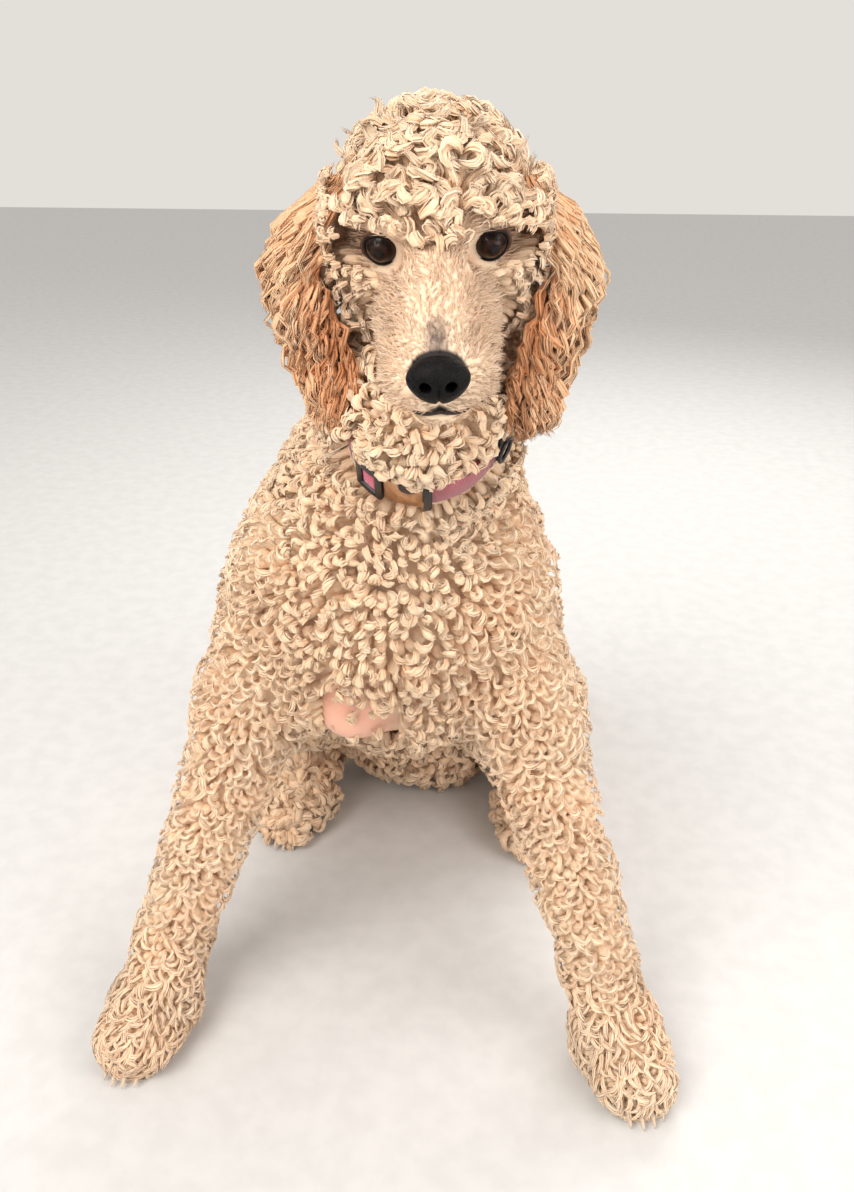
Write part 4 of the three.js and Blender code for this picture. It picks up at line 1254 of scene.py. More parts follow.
def fuzzy(name, region, spacing, seed):
    """The forelegs' loose wavy tufts with hooked ends, which fall along the limb, longest on the paws."""
    def wanted(regions, middle):
        return (regions == region) & (middle[:, 2] > 1)

    def gap(p):
        return spacing * (0.72 + 0.28 * smooth_step(40, 130, p[:, 2]))

    coat = Coat(name, seed)
    roots = tip_roots(gap, seed, wanted)
    rng = coat.rng
    roots = roots.grown(0.93 + 0.08 * sway(roots.tip, 22, 1))
    n = len(roots)
    places = roots.places()
    tones = coat.tones(0.65 + 0.3 * sway(roots.root, 40, 2), n)
    coat.add_puffs(roots, np.ones(n, bool), gap, places, tones, 0.74)
    along = np.stack([masses[w].along for w in roots.which])
    loose = smooth_step(110, 50, roots.tip[:, 2])
    down = unit(along) * 0.8 + np.array([0, 0, -0.5]) + (0.5 - 0.2 * loose)[:, None] * rng.normal(size=(n, 3))
    top = lifted(roots, LEG_CURL_DEEP)
    shortest = spacing * (1.5 + 0.3 * loose)
    made = curls(
        top, tangent(down, top.out), rng, length=(shortest, 1.6 * shortest),
        turn=(1.0 - 0.4 * loose, 3.4 - 1.3 * loose), radius=0.28 * spacing, rings=6, tilts=(0.4, 1.5),
        fray=2.6, full=0.65, flat=0.5,
    )
    coat.add_bundles(made, places, top.out, tones)
    coat.build()


def left_half(middle):
    return middle[:, 0] > 8


curly("coat_chest_left", "chest", (9.4, 8.0), 11, wanted=left_half)
curly("coat_chest_right", "chest", (9.4, 8.0), 12, wanted=lambda middle: ~left_half(middle))
curly("coat_neck", "neck", (8.4, 7.6), 13)
curly("coat_ribs", "ribs", (12.0, 11.2), 14, strands=2)
curly("coat_rump", "rump", (12.2, 12.2), 15, strands=2)
curly("coat_tail", "tail", (11.8, 11.8), 16, strands=2)
for number, (side, _) in enumerate(SIDES):
    fuzzy(f"coat_foreleg_{side}", f"foreleg_{side}", 8.1, 21 + number)
    curly(f"coat_hind_leg_{side}", f"hind_leg_{side}", (12.8, 12.8), 31 + number, strands=2)


def topknot(name, seed, wanted):
    """Soft wavy clumps that sweep forward over the brow, aside over the ears and down behind."""
    gap = even(TOPKNOT_GAP)
    coat = Coat(name, seed)
    roots = tip_roots(gap, seed, wanted)
    rng = coat.rng
    x, y, z = to_local(head_frame, roots.tip).T
    roots = roots.grown(0.97 + 0.08 * sway(roots.tip, 24, 4))
    n = len(roots)
    places = roots.places()
    tones = coat.tones(0.65 + 0.3 * sway(roots.root, 24, 3), n)
    high = (z > BROW_TOP + 16) | (y > 20)
    coat.add_puffs(roots, high, gap, places, tones, 0.62, 45)
    brow = smooth_step(24, -4, y) * smooth_step(52, 26, z)
    ahead = np.clip(-0.9 + (y - 30) / 60, -0.9, 0.7) * (1 - 0.8 * brow)
    fall = falling(x / 50, ahead, -0.35 + 1.2 * brow, roots.tip, 0.7, 20, (5, 6, 7))
    lie = unit(tangent(fall, roots.out) * 0.95 + roots.out * 0.1)
    curled = rng.random(n) < 0.3 + 0.4 * smooth_step(-10, 40, y)
    wavy, wound = roots.of(~curled), roots.of(curled)
    coat.add_bundles(waves(wavy, lie[~curled], rng), places[~curled], wavy.out, tones[~curled])
    made = curls(
        wound, lie[curled], rng, length=(24, 34), turn=(2.4, 4.6), radius=4.2, rings=10, tilts=(0.6, 1.5),
        strands=5, fray=1.8,
    )
    coat.add_bundles(made, places[curled], wound.out, tones[curled])
    coat.keep_off_eyes(1.5)
    coat.build()


def on_left_head(middle):
    return to_local(head_frame, middle)[:, 0] > 0


def crowned(region, middle):
    """The crown, the brow and the temples, which carry the long hair of the topknot."""
    q = to_local(head_frame, middle)
    above = np.isin(region, ["face", "cheek"]) & (q[:, 2] > BROW_TOP) & (q[:, 1] > -40)
    return (region == "topknot") | above


topknot("coat_topknot_left", 41, lambda region, middle: crowned(region, middle) & on_left_head(middle))
topknot("coat_topknot_right", 42, lambda region, middle: crowned(region, middle) & ~on_left_head(middle))


def cheeks():
    """Wavy hair beside the eyes and down the cheeks, which stands out to the ears."""
    def wanted(region, middle):
        return (region == "cheek") & (to_local(head_frame, middle)[:, 2] < BROW_TOP + 4)

    coat = Coat("coat_cheeks", 43)
    roots = tip_roots(even(CHEEK_GAP), 43, wanted)
    rng = coat.rng
    behind_nose = to_local(head_frame, roots.root)[:, 1] > -24
    roots = roots.of(eye_clear(roots.root, 1.4) & behind_nose)
    n = len(roots)
    x, y, z = to_local(head_frame, roots.root).T
    places = roots.places()
    tones = coat.tones(0.65, n, 0.2)
    above = smooth_step(-8, 12, z)
    fall = falling(x / 30, 0.1 + 0.3 * above, -0.9 + 1.5 * above, roots.tip, 0.5, 20, (8, 9, 10))
    lie = unit(tangent(fall, roots.out))
    beside = smooth_step(-100, -60, z) * smooth_step(-20, 5, y)
    roots = Roots(roots.root, roots.tip + roots.out * (15 * beside)[:, None], roots.which)
    coat.add_puffs(roots, z < -14, even(CHEEK_PUFF_GAP), places, tones, 0.7, 40)
    apart = np.abs(np.abs(x) - EYE_APART / 2)
    long = 13 - 5 * smooth_step(34, 18, np.hypot(apart, z))
    made = curls(
        roots, lie, rng, length=(long, 1.7 * long), turn=(1.4, 3.8), radius=3.1, rings=7, tilts=(0.9, 1.5),
        strands=4, fray=2.2,
    )
    coat.add_bundles(made, places, roots.out, tones)
    coat.keep_off_eyes(1.25)
    coat.build()


def face_coat():
    """Short hair over the face, which lies back from the nose and grows longer to the brow and cheeks."""
    coat = Coat("coat_face", 44, face_look)
    rng = coat.rng
    centre = skin_points[skin_quads].mean(axis=1)
    q = to_local(head_frame, centre)
    near = (np.abs(q[:, 0]) < 75) & (q[:, 1] > -140) & (q[:, 1] < 60) & (np.abs(q[:, 2] + 20) < 75)
    quads = skin_quads[near]
    quads = quads[np.isin(region_at(centre[near]), ["face", "cheek"])]
    spots = candidates(skin_points, quads, FACE_GAP, rng)
    q = to_local(head_frame, spots)
    off_nose = np.linalg.norm((q - NOSE_AT) / (NOSE_RADII + 0.6), axis=1) > 1
    spots = spots[off_nose & eye_clear(spots, 1.22) & (q[:, 2] < BROW_TOP + 8)]
    spots = spots[thin_out(spots, np.full(len(spots), FACE_GAP))]
    out = unit(gradient(skin_field, spots))
    depth = -coat_field(spots)
    tips = spots + out * np.clip(depth, 3, FACE_LONGEST)[:, None]
    roots = Roots(spots, tips, distances(spots).argmin(axis=0))
    n = len(roots)
    x, y, z = to_local(head_frame, spots).T
    brow = smooth_step(-30, 5, y) * smooth_step(-12, 8, z)
    flank = smooth_step(12, 26, np.abs(x))
    rise = 0.15 - 0.6 * flank * (1 - brow) + 0.9 * brow
    fall = falling(0.5 * x / 20 * (1 + brow), 1 - 0.6 * brow, rise, spots, 0.35, 14, (11, 12, 13))
    full = smooth_step(6, 16, depth)
    lie = unit(tangent(fall, out) + (0.12 + 0.4 * full + 0.4 * flank)[:, None] * out)
    length = 5.0 + 2.6 * smooth_step(-112, -40, y) + 5 * flank * (1 - brow)
    length = np.maximum(length, np.minimum(depth, FACE_LONGEST))
    made, owner = short_hair(roots, lie, length * rng.uniform(0.8, 1.2, n), rng)
    tones = coat.tones(0.6 + 0.25 * sway(spots, 18, 14), n)
    # The face's short hair starts at 0.5 on the ramp, with little painted shade at the root
    coat.add(made, owner, roots.places(), roots.out, tones, (0.5, 1.0))
    coat.keep_off_eyes(1.25, 0.006)
    coat.build()


cheeks()
face_coat()


# Ears: a cupped leaf of skin under long wavy locks
def leaf_point(s, u, z, off=0.0):
    """A place on the leaf in the ear's frame: u is -1 at the front edge and 1 at the back one."""
    rows = np.array(LEAF, float).T
    x, y, half, cup = (np.interp(z, rows[0], row) for row in rows[1:])
    aside = x + EAR_SPLAY * u - cup * u * u + off
    return np.stack([s * aside, y + u * half, z + 0 * u], axis=-1)


def leaf_map(u, z):
    return np.stack([0.5 + 0.46 * u, (z + 125) / 165], axis=1)


def ear_skin(side, s):
    across, down = 15, 26
    ring = 2 * across
    u = np.linspace(-1, 1, across)
    z = np.linspace(EAR_TOP, LEAF_END, down)
    thick = 1.8 * np.sqrt(np.maximum(1 - u**2, 0.02))
    off = np.concatenate([thick, -thick])
    around = np.concatenate([u, u[::-1]])
    around = np.where(around < 0, around * 0.6, around * 0.88)
    points = np.concatenate([leaf_point(s, around, np.full(ring, h), off) for h in z])
    quads = [ring_quads(down, ring)]
    for start in (0, (down - 1) * ring):
        strip = np.array([[start + i, start + i + 1, start + ring - 2 - i, start + ring - 1 - i]
                          for i in range(across - 1)])
        quads.append(strip if start else strip[:, ::-1])
    quads = np.concatenate(quads)
    quads = quads[:, ::-1] if s > 0 else quads
    mesh = mesh_from(f"ear_skin_{side}", to_world(ear_frame, points), quads)
    inner = np.tile(np.where(off > 0, 1, 0.98), down)
    add_map(mesh, "OFBake", leaf_map(np.tile(around, down) * inner, np.repeat(z, ring)))
    piece(f"ear_skin_{side}", mesh, ear_skin_look, [f"ear_{side}"])


def ear_coat(side, s, seed):
    """Long wavy locks in layers over the leaf, with some under it and more along its front edge."""
    coat = Coat(f"ear_locks_{side}", seed, ear_look, "ear_coat")
    rng = coat.rng
    n, rings = EAR_LOCKS, 10
    z0 = EAR_TOP + 3 - 126 * rng.random(n) ** 1.15
    u0 = rng.uniform(-1, 1, n)
    layer = rng.random(n) ** 0.7
    edge = rng.random(n) < 0.14
    u0 = np.where(edge, rng.uniform(-1.08, -0.85, n), u0)
    u0 = np.where(z0 > -45, np.maximum(u0, -0.72), u0)
    inner = (rng.random(n) < 0.3) & (z0 < -20)
    length = np.minimum(rng.uniform(*EAR_LOCK_LONG, n), z0 - EAR_END + rng.uniform(0, 7, n))
    length = np.maximum(length, 12)
    t = np.linspace(0, 1, rings)[None]
    z = np.maximum(z0[:, None] - length[:, None] * t, EAR_END - 4)
    lift = layer[:, None] * smooth_step(0, 0.45, t)
    high = EAR_TOP + 8
    bow = EAR_BOW[side] * np.sin(np.pi * np.clip((high - z) / (high - EAR_END), 0.02, 1)) ** 0.8
    drift = (rng.normal(0, 0.3, n) + 0.25 * u0)[:, None]
    u = u0[:, None] * (1 - 0.1 * t) + drift * t**1.5
    u = 1.12 * np.tanh(u / 1.12)
    off = np.where(inner[:, None], -3 - 5 * lift, 2 + bow * lift * (1 - 0.45 * u * u))
    path = leaf_point(s, u, z, off)
    swing = rng.uniform(3.0, 6.0, (n, 1)) * np.minimum(t * 3, 1)
    run = 2 * np.pi * length[:, None] * t / rng.uniform(17, 26, (n, 1)) + rng.random((n, 1)) * 2 * np.pi
    path[:, :, 1] += swing * np.sin(run)
    path[:, :, 0] += s * 0.8 * swing * np.cos(run)
    path[:, :, 2] += 0.35 * swing * np.sin(run * 0.8)
    world = to_world(ear_frame, path.reshape(-1, 3)).reshape(path.shape)
    axes = axes_of(ear_frame)
    outward = np.broadcast_to(axes[:, 0] * s * 0.5, (n, 3))
    wide = np.broadcast_to(axes[:, 1], (n, 3))
    made = bundles(world, wide, rng.uniform(*EAR_LOCK_WIDE, n), rng, strands=4, fray=2.0)
    # Tone: paler to the top and the back edge; the locks under the leaf and in the low layers close to it are
    # darker and warmer, which is painted shade. The ear's roots start at 0.1 on the ramp, with strong painted
    # shade
    tones = 0.25 + 0.5 * layer + 0.35 * u0 - 0.5 * inner + 0.6 * smooth_step(-25, 20, z0)
    coat.add_bundles(made, leaf_map(u0, z0), outward, coat.tones(tones, n), (0.1, 1.0))
    coat.build()


def ear_skin_material():
    nodes = Nodes("ear_skin")
    place = nodes.place()
    nodes.paint(nodes.between(nodes.noise(place, 60), colour(206, 150, 108), colour(176, 120, 84)))
    nodes.bump(nodes.noise(place, 700, 4), 0.5, 0.001)
    nodes.set(Roughness=0.7, Sheen_Weight=0.2)
    return nodes.material


ear_skin_look = ear_skin_material()
for number, (side, s) in enumerate(SIDES):
    ear_skin(side, s)
    ear_coat(side, s, 51 + number)


# Eyes
def round_map(angle, reach):
    """A place on the map, at an angle and a reach from its middle."""
    return 0.5 + reach[:, None] * np.stack([np.cos(angle), np.sin(angle)], 1)


def eye_material():
    """Pupil, iris and white by the angle from the way that the eye looks, with the iris's fibres."""
    nodes = Nodes("eye")
    polar = nodes.attribute("polar")
    fibre = nodes.noise(nodes.map("eye"), 1.0, 4, 0.65)
    ball = nodes.between(fibre, colour(40, 22, 15), colour(64, 36, 24))
    ball = nodes.between(polar, ball, colour(26, 15, 12), 0.42, 0.66)
    ball = nodes.mix(nodes.ramp(polar, 0.16, 0.52, 1.0, 0.0), ball, colour(12, 7, 6))
    ball = nodes.between(polar, ball, colour(24, 14, 12), 0.62, 0.7)
    nodes.paint(nodes.between(polar, ball, colour(48, 32, 28), 0.8, 0.95))
    nodes.bump(fibre, 0.05, 0.0002)
    nodes.set(Roughness=0.4, Specular_IOR_Level=0.1, Coat_Weight=0.5, Coat_Roughness=0.02, Coat_IOR=1.34)
    return nodes.material


eye_look = eye_material()


def eyeball(side, s):
    """A ball with the cornea's bulge. Its rings go round the way that it looks."""
    around, rings, bulge = 64, 48, 0.8
    polar = np.linspace(0, np.pi, rings + 1)[1:-1]
    row = np.arange(around)
    after = (row + 1) % around
    angle = 2 * np.pi * row / around
    radius = (EYE_RADIUS + bulge * np.exp(-((polar / 0.55) ** 4)))[:, None]
    aside = radius * np.sin(polar)[:, None]
    ahead = -radius * np.cos(polar)[:, None] * np.ones(around)
    ring = np.stack([aside * np.cos(angle), ahead, aside * np.sin(angle)], axis=-1).reshape(-1, 3)
    points = np.concatenate([ring, [[0, -EYE_RADIUS - bulge, 0], [0, EYE_RADIUS, 0]]])
    last = (rings - 2) * around
    front, back = np.full(around, len(ring)), np.full(around, len(ring) + 1)
    tris = np.concatenate([np.stack([front, after, row], 1), np.stack([last + row, last + after, back], 1)])
    mesh = mesh_from(f"eyeball_{side}", to_world(eye_frame(s), points), ring_quads(rings - 1, around), tris)
    at = np.concatenate([np.repeat(polar, around), [0, np.pi]])
    turn = np.concatenate([np.tile(angle, rings - 1), [0, 0]])
    add_value(mesh, "polar", at)
    add_map(mesh, "OFBake", round_map(turn, 0.15 * at))
    add_map(mesh, "eye", np.stack([np.cos(turn) * 9, np.sin(turn) * 9], 1) + at[:, None] * 1.2)
    piece(f"eyeball_{side}", mesh, eye_look, [f"eye_{side}"])


def surface_along(origin, direction, near, far, field):
    """How far along each direction the field turns positive, between two reaches."""
    low = np.full(len(direction), float(near))
    high = np.full(len(direction), float(far))
    for _ in range(24):
        middle = (low + high) / 2
        out = field(origin + direction * middle[:, None]) > 0
        high = np.where(out, middle, high)
        low = np.where(out, low, middle)
    return low


def lid_material():
    """Dark at the edge beside the eye, and hairy where the lid meets the face."""
    nodes = Nodes("lid")
    edge = nodes.attribute("edge")
    grain = nodes.noise(nodes.place(), 1200, 4, 0.7)
    dark = nodes.between(grain, colour(20, 15, 16), colour(44, 32, 30))
    hairy = nodes.between(grain, colour(214, 172, 138), colour(236, 204, 170))
    middle = nodes.between(edge, dark, colour(130, 92, 74), 0.42, 0.7)
    nodes.paint(nodes.between(edge, middle, hairy, 0.62, 0.98))
    nodes.bump(grain, 0.35, 0.0004)
    nodes.set(Roughness=0.5, Specular_IOR_Level=0.3)
    return nodes.material


lid_look = lid_material()


def lids(side, s):
    """A rolled rim round the opening, then rings that run out into the skin of the face."""
    where = eye_frame(s)
    around = 72
    angle = 2 * np.pi * np.arange(around) / around
    # The inner corner is drawn out and a little lower, as a tear duct
    corner = np.exp(-((np.arccos(np.clip(-s * np.cos(angle), -1, 1)) / 0.42) ** 2))
    x = APERTURE[0] * np.cos(angle) - s * 2.0 * corner
    z = APERTURE[1] * np.sin(angle) * (1 - 0.35 * corner) - 1.4 * corner
    rows = []
    for grow, over in LID_ROLL:
        px, pz = x * grow, z * grow
        r = np.maximum(EYE_RADIUS + over, np.hypot(px, pz) * 1.02)
        row = np.stack([px, -np.sqrt(np.maximum(r**2 - px**2 - pz**2, 0.5)), pz], 1)
        rows.append(to_world(where, row))
    centre = to_world(where, (0, 4, 0))
    last = rows[-1]
    for grow, sink in LID_SKIRT:
        direction = unit(to_world(where, np.stack([x * grow, np.full(around, -9.5), z * grow], 1)) - centre)
        reach = surface_along(centre, direction, 6, 34, face_field)
        spot = centre + direction * (reach + sink)[:, None]
        rows.append(0.5 * last + 0.5 * spot if sink > 0 else spot)
    mesh = mesh_from(f"lids_{side}", np.concatenate(rows), ring_quads(len(rows), around))
    edge = np.repeat(np.linspace(0, 1, len(rows)), around)
    add_value(mesh, "edge", edge)
    add_map(mesh, "OFBake", round_map(np.tile(angle, len(rows)), 0.1 + 0.38 * edge))
    piece(f"lids_{side}", mesh, lid_look)


for side, s in SIDES:
    eyeball(side, s)
    lids(side, s)


# Nose
def rod_distance(q, a, b, radius):
    a, b = np.array(a, float), np.array(b, float)
    t = np.clip((q - a) @ (b - a) / ((b - a) @ (b - a)), 0, 1)
    return np.linalg.norm(q - a - t[:, None] * (b - a), axis=1) - radius


def nose_field(q):
    """The pad, narrower below, with its nostrils, their side slits and the groove down the middle."""
    o = q - NOSE_AT
    narrow = 0.86 + 0.14 * smooth_step(-12, 4, o[:, 2])
    radii = np.tile(NOSE_RADII, (len(q), 1))
    radii[:, 0] *= narrow
    k = np.linalg.norm(o / radii, axis=1)
    g = np.linalg.norm(o / radii**2, axis=1)
    f = k * (k - 1) / np.maximum(g, 1e-6)
    x = np.abs(q[:, 0])
    mirrored = np.stack([x, q[:, 1], q[:, 2]], axis=1)
    hole = rod_distance(mirrored, (7.6, -134, -18.5), (6.6, -121, -17), 3.3)
    slit = rod_distance(mirrored, (9.5, -131, -20), (17.5, -122, -15), 1.3)
    f = carve(carve(f, hole, 2.0), slit, 1.5)
    front = smooth_step(-112, -120, q[:, 1])
    f = f + 1.3 * np.exp(-((x / 0.9) ** 2)) * front * smooth_step(-14, -20, q[:, 2])
    return f + 0.5 * np.exp(-((x / 1.4) ** 2)) * front


def nose_material():
    """Black pebbled leather, a little glossier in patches."""
    nodes = Nodes("nose")
    place = nodes.place()
    cells = nodes.add("TexVoronoi", place, feature="DISTANCE_TO_EDGE")
    cells.inputs["Scale"].default_value = 750
    patch = nodes.noise(place, 120)
    nodes.paint(nodes.between(patch, colour(5, 4, 5), colour(15, 12, 13), 0.35, 0.65))
    nodes.paint(nodes.ramp(patch, 0.3, 0.7, 0.36, 0.48), "Roughness")
    nodes.bump(nodes.ramp(cells.outputs["Distance"], 0.0, 0.25), 0.45, 0.0006)
    nodes.set(Specular_IOR_Level=0.12, Coat_Weight=0.02, Coat_Roughness=0.3)
    return nodes.material


def nose():
    lines = [spread(*reach, NOSE_GRID) for reach in ((-21, 21), (-134, -102), (-36, -2))]
    points, quads = surface_of(nose_field, lines)
    mesh = mesh_from("nose_pad", to_world(head_frame, points), quads)
    x, y, z = points[quads.ravel()].T
    add_corner_map(mesh, "OFBake", np.stack([x / 44 + 0.5, (z + 19) / 60 + 0.5 + (y + 118) / 90], axis=1))
    piece("nose_pad", mesh, nose_material(), ["nose"])


nose()


# Lips and claws
def grained_material(name, dark, light):
    nodes = Nodes(name)
    grain = nodes.noise(nodes.place(), 1100, 4, 0.7)
    nodes.paint(nodes.between(grain, dark, light))
    nodes.bump(grain, 0.4, 0.0003)
    nodes.set(Roughness=0.45, Specular_IOR_Level=0.35)
    return nodes.material


def lips():
    """A thin dark roll along the line of the mouth, from one corner round the front to the other."""
    y = np.concatenate([np.linspace(-122, -108, 10), np.linspace(-102, -34, 18)])
    z = np.interp(y, MOUTH_BACK, MOUTH_HEIGHT)
    start = to_world(head_frame, np.stack([0 * y, np.maximum(y, -100), z], 1))
    front = y < -104
    aim_x = np.where(front, np.interp(y, [-122, -104], [0.0, 1.0]), 1.0)
    aim_y = np.where(front, -np.interp(y, [-122, -104], [1.0, 0.25]), 0.0)
    halves = []
    for _, s in SIDES:
        way = unit(np.stack([s * aim_x, aim_y, 0 * y], 1)) @ axes_of(head_frame).T
        reach = surface_along(start, way, 0, 45, skin_field)
        halves.append(start + way * (reach - 0.5)[:, None])
    path = np.concatenate([halves[0][::-1], halves[1][1:]])[None]
    size = np.full(path.shape[:2], LIP_RADIUS)
    size[:, :4] = (0.5, 0.8, 1.1, 1.3)
    size[:, -4:] = size[:, :4][:, ::-1]
    made = tubes(path, size, size * 0.8, axes_of(head_frame)[:, 2][None], 8)
    mesh = mesh_from("lips", made["points"], made["quads"], made["tris"])
    add_map(mesh, "OFBake", 0.1 + 0.8 * np.stack([made["tip"], made["round"]], 1))
    piece("lips", mesh, grained_material("lips", LIP, colour(58, 42, 40)))


lips()


def claws(name, heel, toe):
    """Four curved claws on a paw, the outer two set further back."""
    ahead = unit((np.array(toe, float) - np.array(heel, float)) * np.array([1, 1, 0]))
    side = np.cross(ahead, [0, 0, 1.0])
    t = np.linspace(0, 1, 9)[None]
    spots = np.array([-1.5, -0.5, 0.5, 1.5])
    start = np.array(toe) + side * (spots * CLAW_APART)[:, None] + ahead * (23 - 2.2 * spots**2)[:, None]
    start[:, 2] = 12
    drop = (1.5 * t + 8 * t * t)[:, :, None] * np.array([0, 0, 1.0])
    size = np.repeat(CLAW_RADIUS * np.sqrt(1 - 0.97 * t), 4, axis=0)
    path = start[:, None] + ahead * (CLAW_LONG * t)[:, :, None] - drop
    made = tubes(path, size * 0.8, size, np.repeat(side[None], 4, axis=0), 10)
    mesh = mesh_from(name, made["points"], made["quads"], made["tris"])
    owner = np.repeat(np.arange(4), made["per"])
    add_map(mesh, "OFBake", np.stack([(owner + 0.1 + 0.8 * made["round"]) / 4, 0.1 + 0.8 * made["tip"]], 1))
    piece(name, mesh, claw_look)


claw_look = grained_material("claw", colour(196, 168, 140), colour(226, 206, 182))
for side, leg in LIMB.items():
    claws(f"claws_fore_{side}", leg["paw"], leg["toes"])
    claws(f"claws_hind_{side}", leg["hindPaw"], leg["hindToes"])


# Collar: solids between two radii and two heights over an arc of the band's ellipse
def loft(rings, closed):
    """A closed solid through rings of points."""
    count, ring = rings.shape[:2]
    end = (count - 1) * ring
    caps = []
    if not closed:
        caps = [[0, i, i + 1] for i in range(1, ring - 1)]
        caps += [[end, end + i + 1, end + i] for i in range(1, ring - 1)]
    return rings.reshape(-1, 3), ring_quads(count, ring, closed), np.array(caps, int).reshape(-1, 3)


def on_band(angle, rise, z):
    a = np.radians(angle)
    across, deep = BAND["across"] + rise, BAND["deep"] + rise
    return np.stack([across * np.sin(a), -deep * np.cos(a), z + 0 * a], axis=-1)


def arc_solid(angles, rises, heights, steps, bevel=0.5):
    """Part of the band's ring with its edges rounded. Heights may be functions of the angle."""
    closed = angles[1] - angles[0] >= 360
    at = np.linspace(*angles, steps + 1)
    at = at[:-1] if closed else at
    inset = np.zeros(len(at))
    if not closed:
        inset[0] = inset[-1] = bevel
    low, high = (height(at) if callable(height) else height + 0 * at for height in heights)
    low, high = low + inset, high - inset
    near, far = rises[0] + 0 * at, rises[1] - inset
    small = bevel * 0.3
    corners = [
        (near, low + bevel), (near, high - bevel), (near + small, high - small), (near + bevel, high),
        (far - bevel, high), (far - small, high - small), (far, high - bevel), (far, low + bevel),
        (far - small, low + small), (far - bevel, low), (near + bevel, low), (near + small, low + small),
    ]
    rings = np.stack([on_band(at, rise, z) for rise, z in corners], axis=1)
    around = np.radians(at)[:, None] * 62 + np.zeros(len(corners))
    weave = np.stack([around, np.stack([z for _, z in corners], 1)], axis=-1).reshape(-1, 2)
    return *loft(rings, closed), weave


def collar_piece(name, parts, material, node):
    starts = np.cumsum([0] + [len(part[0]) for part in parts])
    points, weave = (np.concatenate([part[i] for part in parts]) for i in (0, 3))
    quads, tris = (np.concatenate([part[i] + start for part, start in zip(parts, starts)]) for i in (1, 2))
    mesh = mesh_from(name, to_world(collar_frame, points), quads, tris)
    add_map(mesh, "weave", weave)
    span = np.maximum(np.ptp(weave, axis=0), 1)
    add_map(mesh, "OFBake", 0.02 + 0.96 * (weave - weave.min(axis=0)) / span)
    piece(name, mesh, material, [node])


def webbing_material(name, light, dark):
    """A diagonal weave of yarn, worn paler in patches and a little fuzzy."""
    nodes = Nodes(name)
    along, up = nodes.add("SeparateXYZ", nodes.map("weave")).outputs[:2]
    one = nodes.math("SINE", nodes.math("MULTIPLY_ADD", up, 5.2, nodes.math("MULTIPLY", along, 2.6)))
    other = nodes.math("SINE", nodes.math("MULTIPLY_ADD", along, 5.2, nodes.math("MULTIPLY", up, -2.6)))
    yarn = nodes.math("MULTIPLY_ADD", one, 0.25, nodes.math("MULTIPLY_ADD", other, 0.25, 0.5))
    wear = nodes.noise(nodes.place(), 60, 4, 0.6)
    fuzz = nodes.noise(nodes.place(), 1800)
    amount = nodes.math("MULTIPLY_ADD", nodes.ramp(wear, 0.3, 0.7), 0.5, nodes.math("MULTIPLY", yarn, 0.5))
    nodes.paint(nodes.mix(amount, dark, light))
    nodes.bump(nodes.math("MULTIPLY_ADD", fuzz, 0.3, yarn), 0.6, 0.0005)
    nodes.set(Roughness=0.6, Sheen_Weight=0.5, Sheen_Roughness=0.35)
    return nodes.material


def plastic_material():
    """Moulded black plastic with a fine grain, rubbed glossier in patches."""
    nodes = Nodes("black_plastic")
    place = nodes.place()
    wear = nodes.noise(place, 80, 5, 0.7)
    nodes.paint(nodes.between(wear, colour(22, 21, 23), colour(44, 42, 44), 0.4, 0.75))
    nodes.paint(nodes.ramp(wear, 0.3, 0.7, 0.28, 0.46), "Roughness")
    nodes.bump(nodes.noise(place, 1500, 3, 0.6), 0.2, 0.0002)
    return nodes.material


def plate_material():
    """Brushed copper with lighter, worn patches."""
    nodes = Nodes("copper_plate")
    stretch = nodes.add("Mapping", nodes.map("weave"))
    stretch.inputs["Scale"].default_value = (0.25, 6.0, 1.0)
    brushed = nodes.noise(stretch.outputs[0], 1.0, 3, 0.7)
    wear = nodes.noise(nodes.place(), 150, 4, 0.6)
    nodes.paint(nodes.between(wear, colour(172, 126, 92), colour(206, 162, 124)))
    nodes.paint(nodes.ramp(brushed, 0.3, 0.7, 0.28, 0.5), "Roughness")
    nodes.bump(brushed, 0.2, 0.0002)
    nodes.set(Metallic=0.85)
    return nodes.material


# Each fitting's angles, in degrees to the dog's left of the band's front, and its thickness
HALF = BAND["half"]
GAP = 0.3
OVER = BAND["thick"] + GAP
SLIDER = (-45, -24)
SLIDER_WINDOW = (-39.8, -29.2)
SLIDER_RAIL = 2.8
BRIGHT = (-40.5, -28.8)
PLATE = (-23.5, 3)
BUTTON = (-12.4, -0.6)
NOTCH_AT = 6.5
BAR = (3.5, 9)
KEEPER = (62, 70)
KEEPER_THICK = 2.5
RING_AT = 66
RING_RADIUS, RING_WIRE = 9, 1.5


def scoop(angle):
    """The plate's upper edge, with the round notch for the button."""
    t = np.clip(np.abs(angle + NOTCH_AT) / 6.6, 0, 1)
    return np.where(t < 1, HALF - 1 - 7 * np.sqrt(1 - t**2), HALF - 1)


def button_low(angle):
    """The button's round lower edge, inside the plate's notch."""
    t = np.clip(np.abs(angle + NOTCH_AT) / 6.1, 0, 1)
    return HALF - 1.4 - 6.4 * np.sqrt(1 - t**2) * 0.98


def lead_ring():
    steps, sides = 48, 12
    at = on_band(np.array(float(RING_AT)), OVER + KEEPER_THICK + 2 * GAP + RING_WIRE, -2.0)
    a = 2 * np.pi * np.arange(steps) / steps
    b = 2 * np.pi * np.arange(sides) / sides
    turn = math.radians(RING_AT)
    outward = unit(np.array([math.sin(turn), -math.cos(turn), 0]))
    up = np.array([0, 0, 1.0])
    spoke = np.cos(a)[:, None] * np.cross(outward, up) + np.sin(a)[:, None] * up
    wire = np.cos(b)[None, :, None] * spoke[:, None] + np.sin(b)[None, :, None] * outward
    rings = (at + RING_RADIUS * spoke)[:, None] + RING_WIRE * wire
    weave = np.stack([np.repeat(a, sides) * RING_RADIUS, np.tile(b, steps) * RING_WIRE], 1)
    return *loft(rings, True), weave


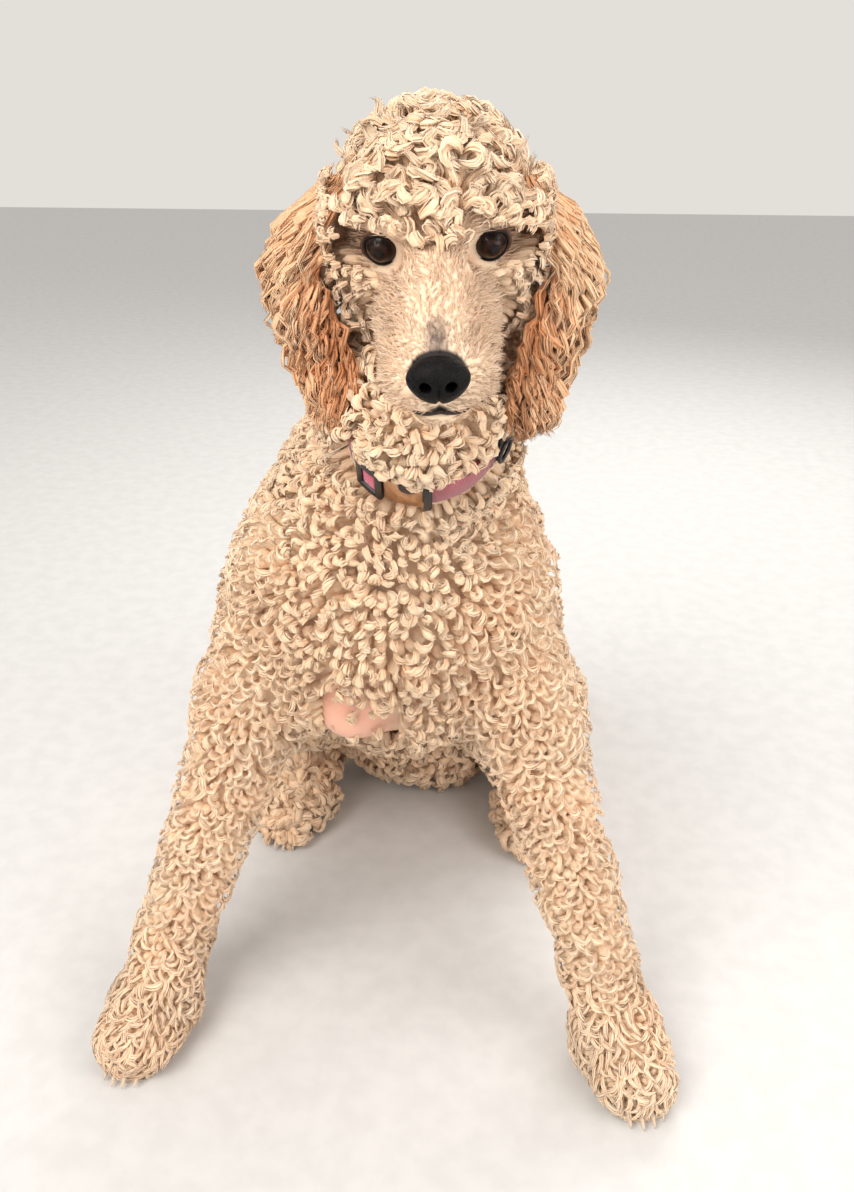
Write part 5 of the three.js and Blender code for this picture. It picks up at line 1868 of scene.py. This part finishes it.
def over_band(angles, thick, heights, steps, bevel):
    return arc_solid(angles, (OVER, OVER + thick), heights, steps, bevel)


pink = webbing_material("webbing", colour(188, 92, 104), colour(128, 50, 64))
bright = webbing_material("webbing_bright", colour(222, 70, 112), colour(170, 30, 74))
black = plastic_material()
copper = plate_material()
band = arc_solid((0, 360), (0, BAND["thick"]), (-HALF, HALF), 160, 0.7)
slider = [
    over_band(SLIDER, 5, (HALF - SLIDER_RAIL, HALF + 3), 10, 1.1),
    over_band(SLIDER, 5, (-HALF - 3, -HALF + SLIDER_RAIL), 10, 1.1),
    over_band((SLIDER[0], SLIDER_WINDOW[0]), 5, (-HALF - 3, HALF + 3), 5, 1.1),
    over_band((SLIDER_WINDOW[1], SLIDER[1]), 5, (-HALF - 3, HALF + 3), 5, 1.1),
]
shown = over_band(BRIGHT, 3, (-HALF + 2.2, HALF - 2.2), 8, 0.6)
plate = over_band(PLATE, 2.2, (-HALF, scoop), 60, 0.4)
button = over_band(BUTTON, 3.6, (button_low, HALF + 2), 24, 0.5)
bar = over_band(BAR, 5, (-HALF - 1.5, HALF + 1.5), 5, 1.0)
keeper = over_band(KEEPER, KEEPER_THICK, (-HALF, HALF), 8, 0.6)
collar_piece("collar_strap", [band], pink, "collar_band")
collar_piece("slider_frame", slider, black, "collar_slider")
collar_piece("slider_webbing", [shown], bright, "collar_webbing")
collar_piece("buckle_plate", [plate], copper, "collar_plate")
collar_piece("release_button", [button], black, "collar_release")
collar_piece("buckle_bar", [bar], black, "collar_buckle")
collar_piece("keeper", [keeper], black, "collar_keeper")
collar_piece("lead_ring", [lead_ring()], black, "collar_ring")

# Lights, floor and camera
scene = bpy.context.scene
scene.view_settings.view_transform = "Standard"


def area_light(name, at, target, size, power, tint):
    data = bpy.data.lights.new(name, "AREA")
    data.shape = "RECTANGLE"
    data.size, data.size_y = size
    data.energy = power
    data.color = tint
    obj = bpy.data.objects.new(name, data)
    obj.location = at
    obj.rotation_euler = (Vector(target) - Vector(at)).to_track_quat("-Z", "Y").to_euler()
    scene.collection.objects.link(obj)


area_light("key", (-0.9, -1.6, 1.9), (0.02, -0.3, 0.4), (1.4, 1.4), 42, (1.0, 0.96, 0.9))
area_light("fill", (1.6, -1.1, 1.1), (0.02, -0.3, 0.4), (1.4, 1.4), 20, (1.0, 0.97, 0.93))
area_light("back", (0.6, 1.5, 1.7), (0.0, -0.1, 0.5), (1.2, 1.0), 26, (1.0, 0.97, 0.94))

world = bpy.data.worlds.new("studio")
world.use_nodes = True
world.node_tree.nodes["Background"].inputs["Color"].default_value = (0.96, 0.92, 0.87, 1)
world.node_tree.nodes["Background"].inputs["Strength"].default_value = 0.8
scene.world = world

FLOOR_HALF = 6000
floor_corners = np.array([[-1, -1, 0], [1, -1, 0], [1, 1, 0], [-1, 1, 0]]) * FLOOR_HALF
floor_mesh = mesh_from("floor", floor_corners, [[0, 1, 2, 3]])
floor = bpy.data.objects.new("floor", floor_mesh)
scene.collection.objects.link(floor)
floor_nodes = Nodes("floor")
speckle = floor_nodes.noise(floor_nodes.place(), 40)
floor_nodes.paint(floor_nodes.between(speckle, (0.6, 0.6, 0.6, 1), (0.64, 0.64, 0.64, 1)))
floor_nodes.set(Roughness=0.85)
floor_mesh.materials.append(floor_nodes.material)

camera_data = bpy.data.cameras.new("camera")
camera_data.lens = 36 * 1056 / 1192
camera = bpy.data.objects.new("camera", camera_data)
camera.location = (0.1055, -1.0935, 0.773)
camera.rotation_euler = (math.radians(90 - 26.2), 0, math.radians(5.25))
scene.collection.objects.link(camera)
scene.camera = camera
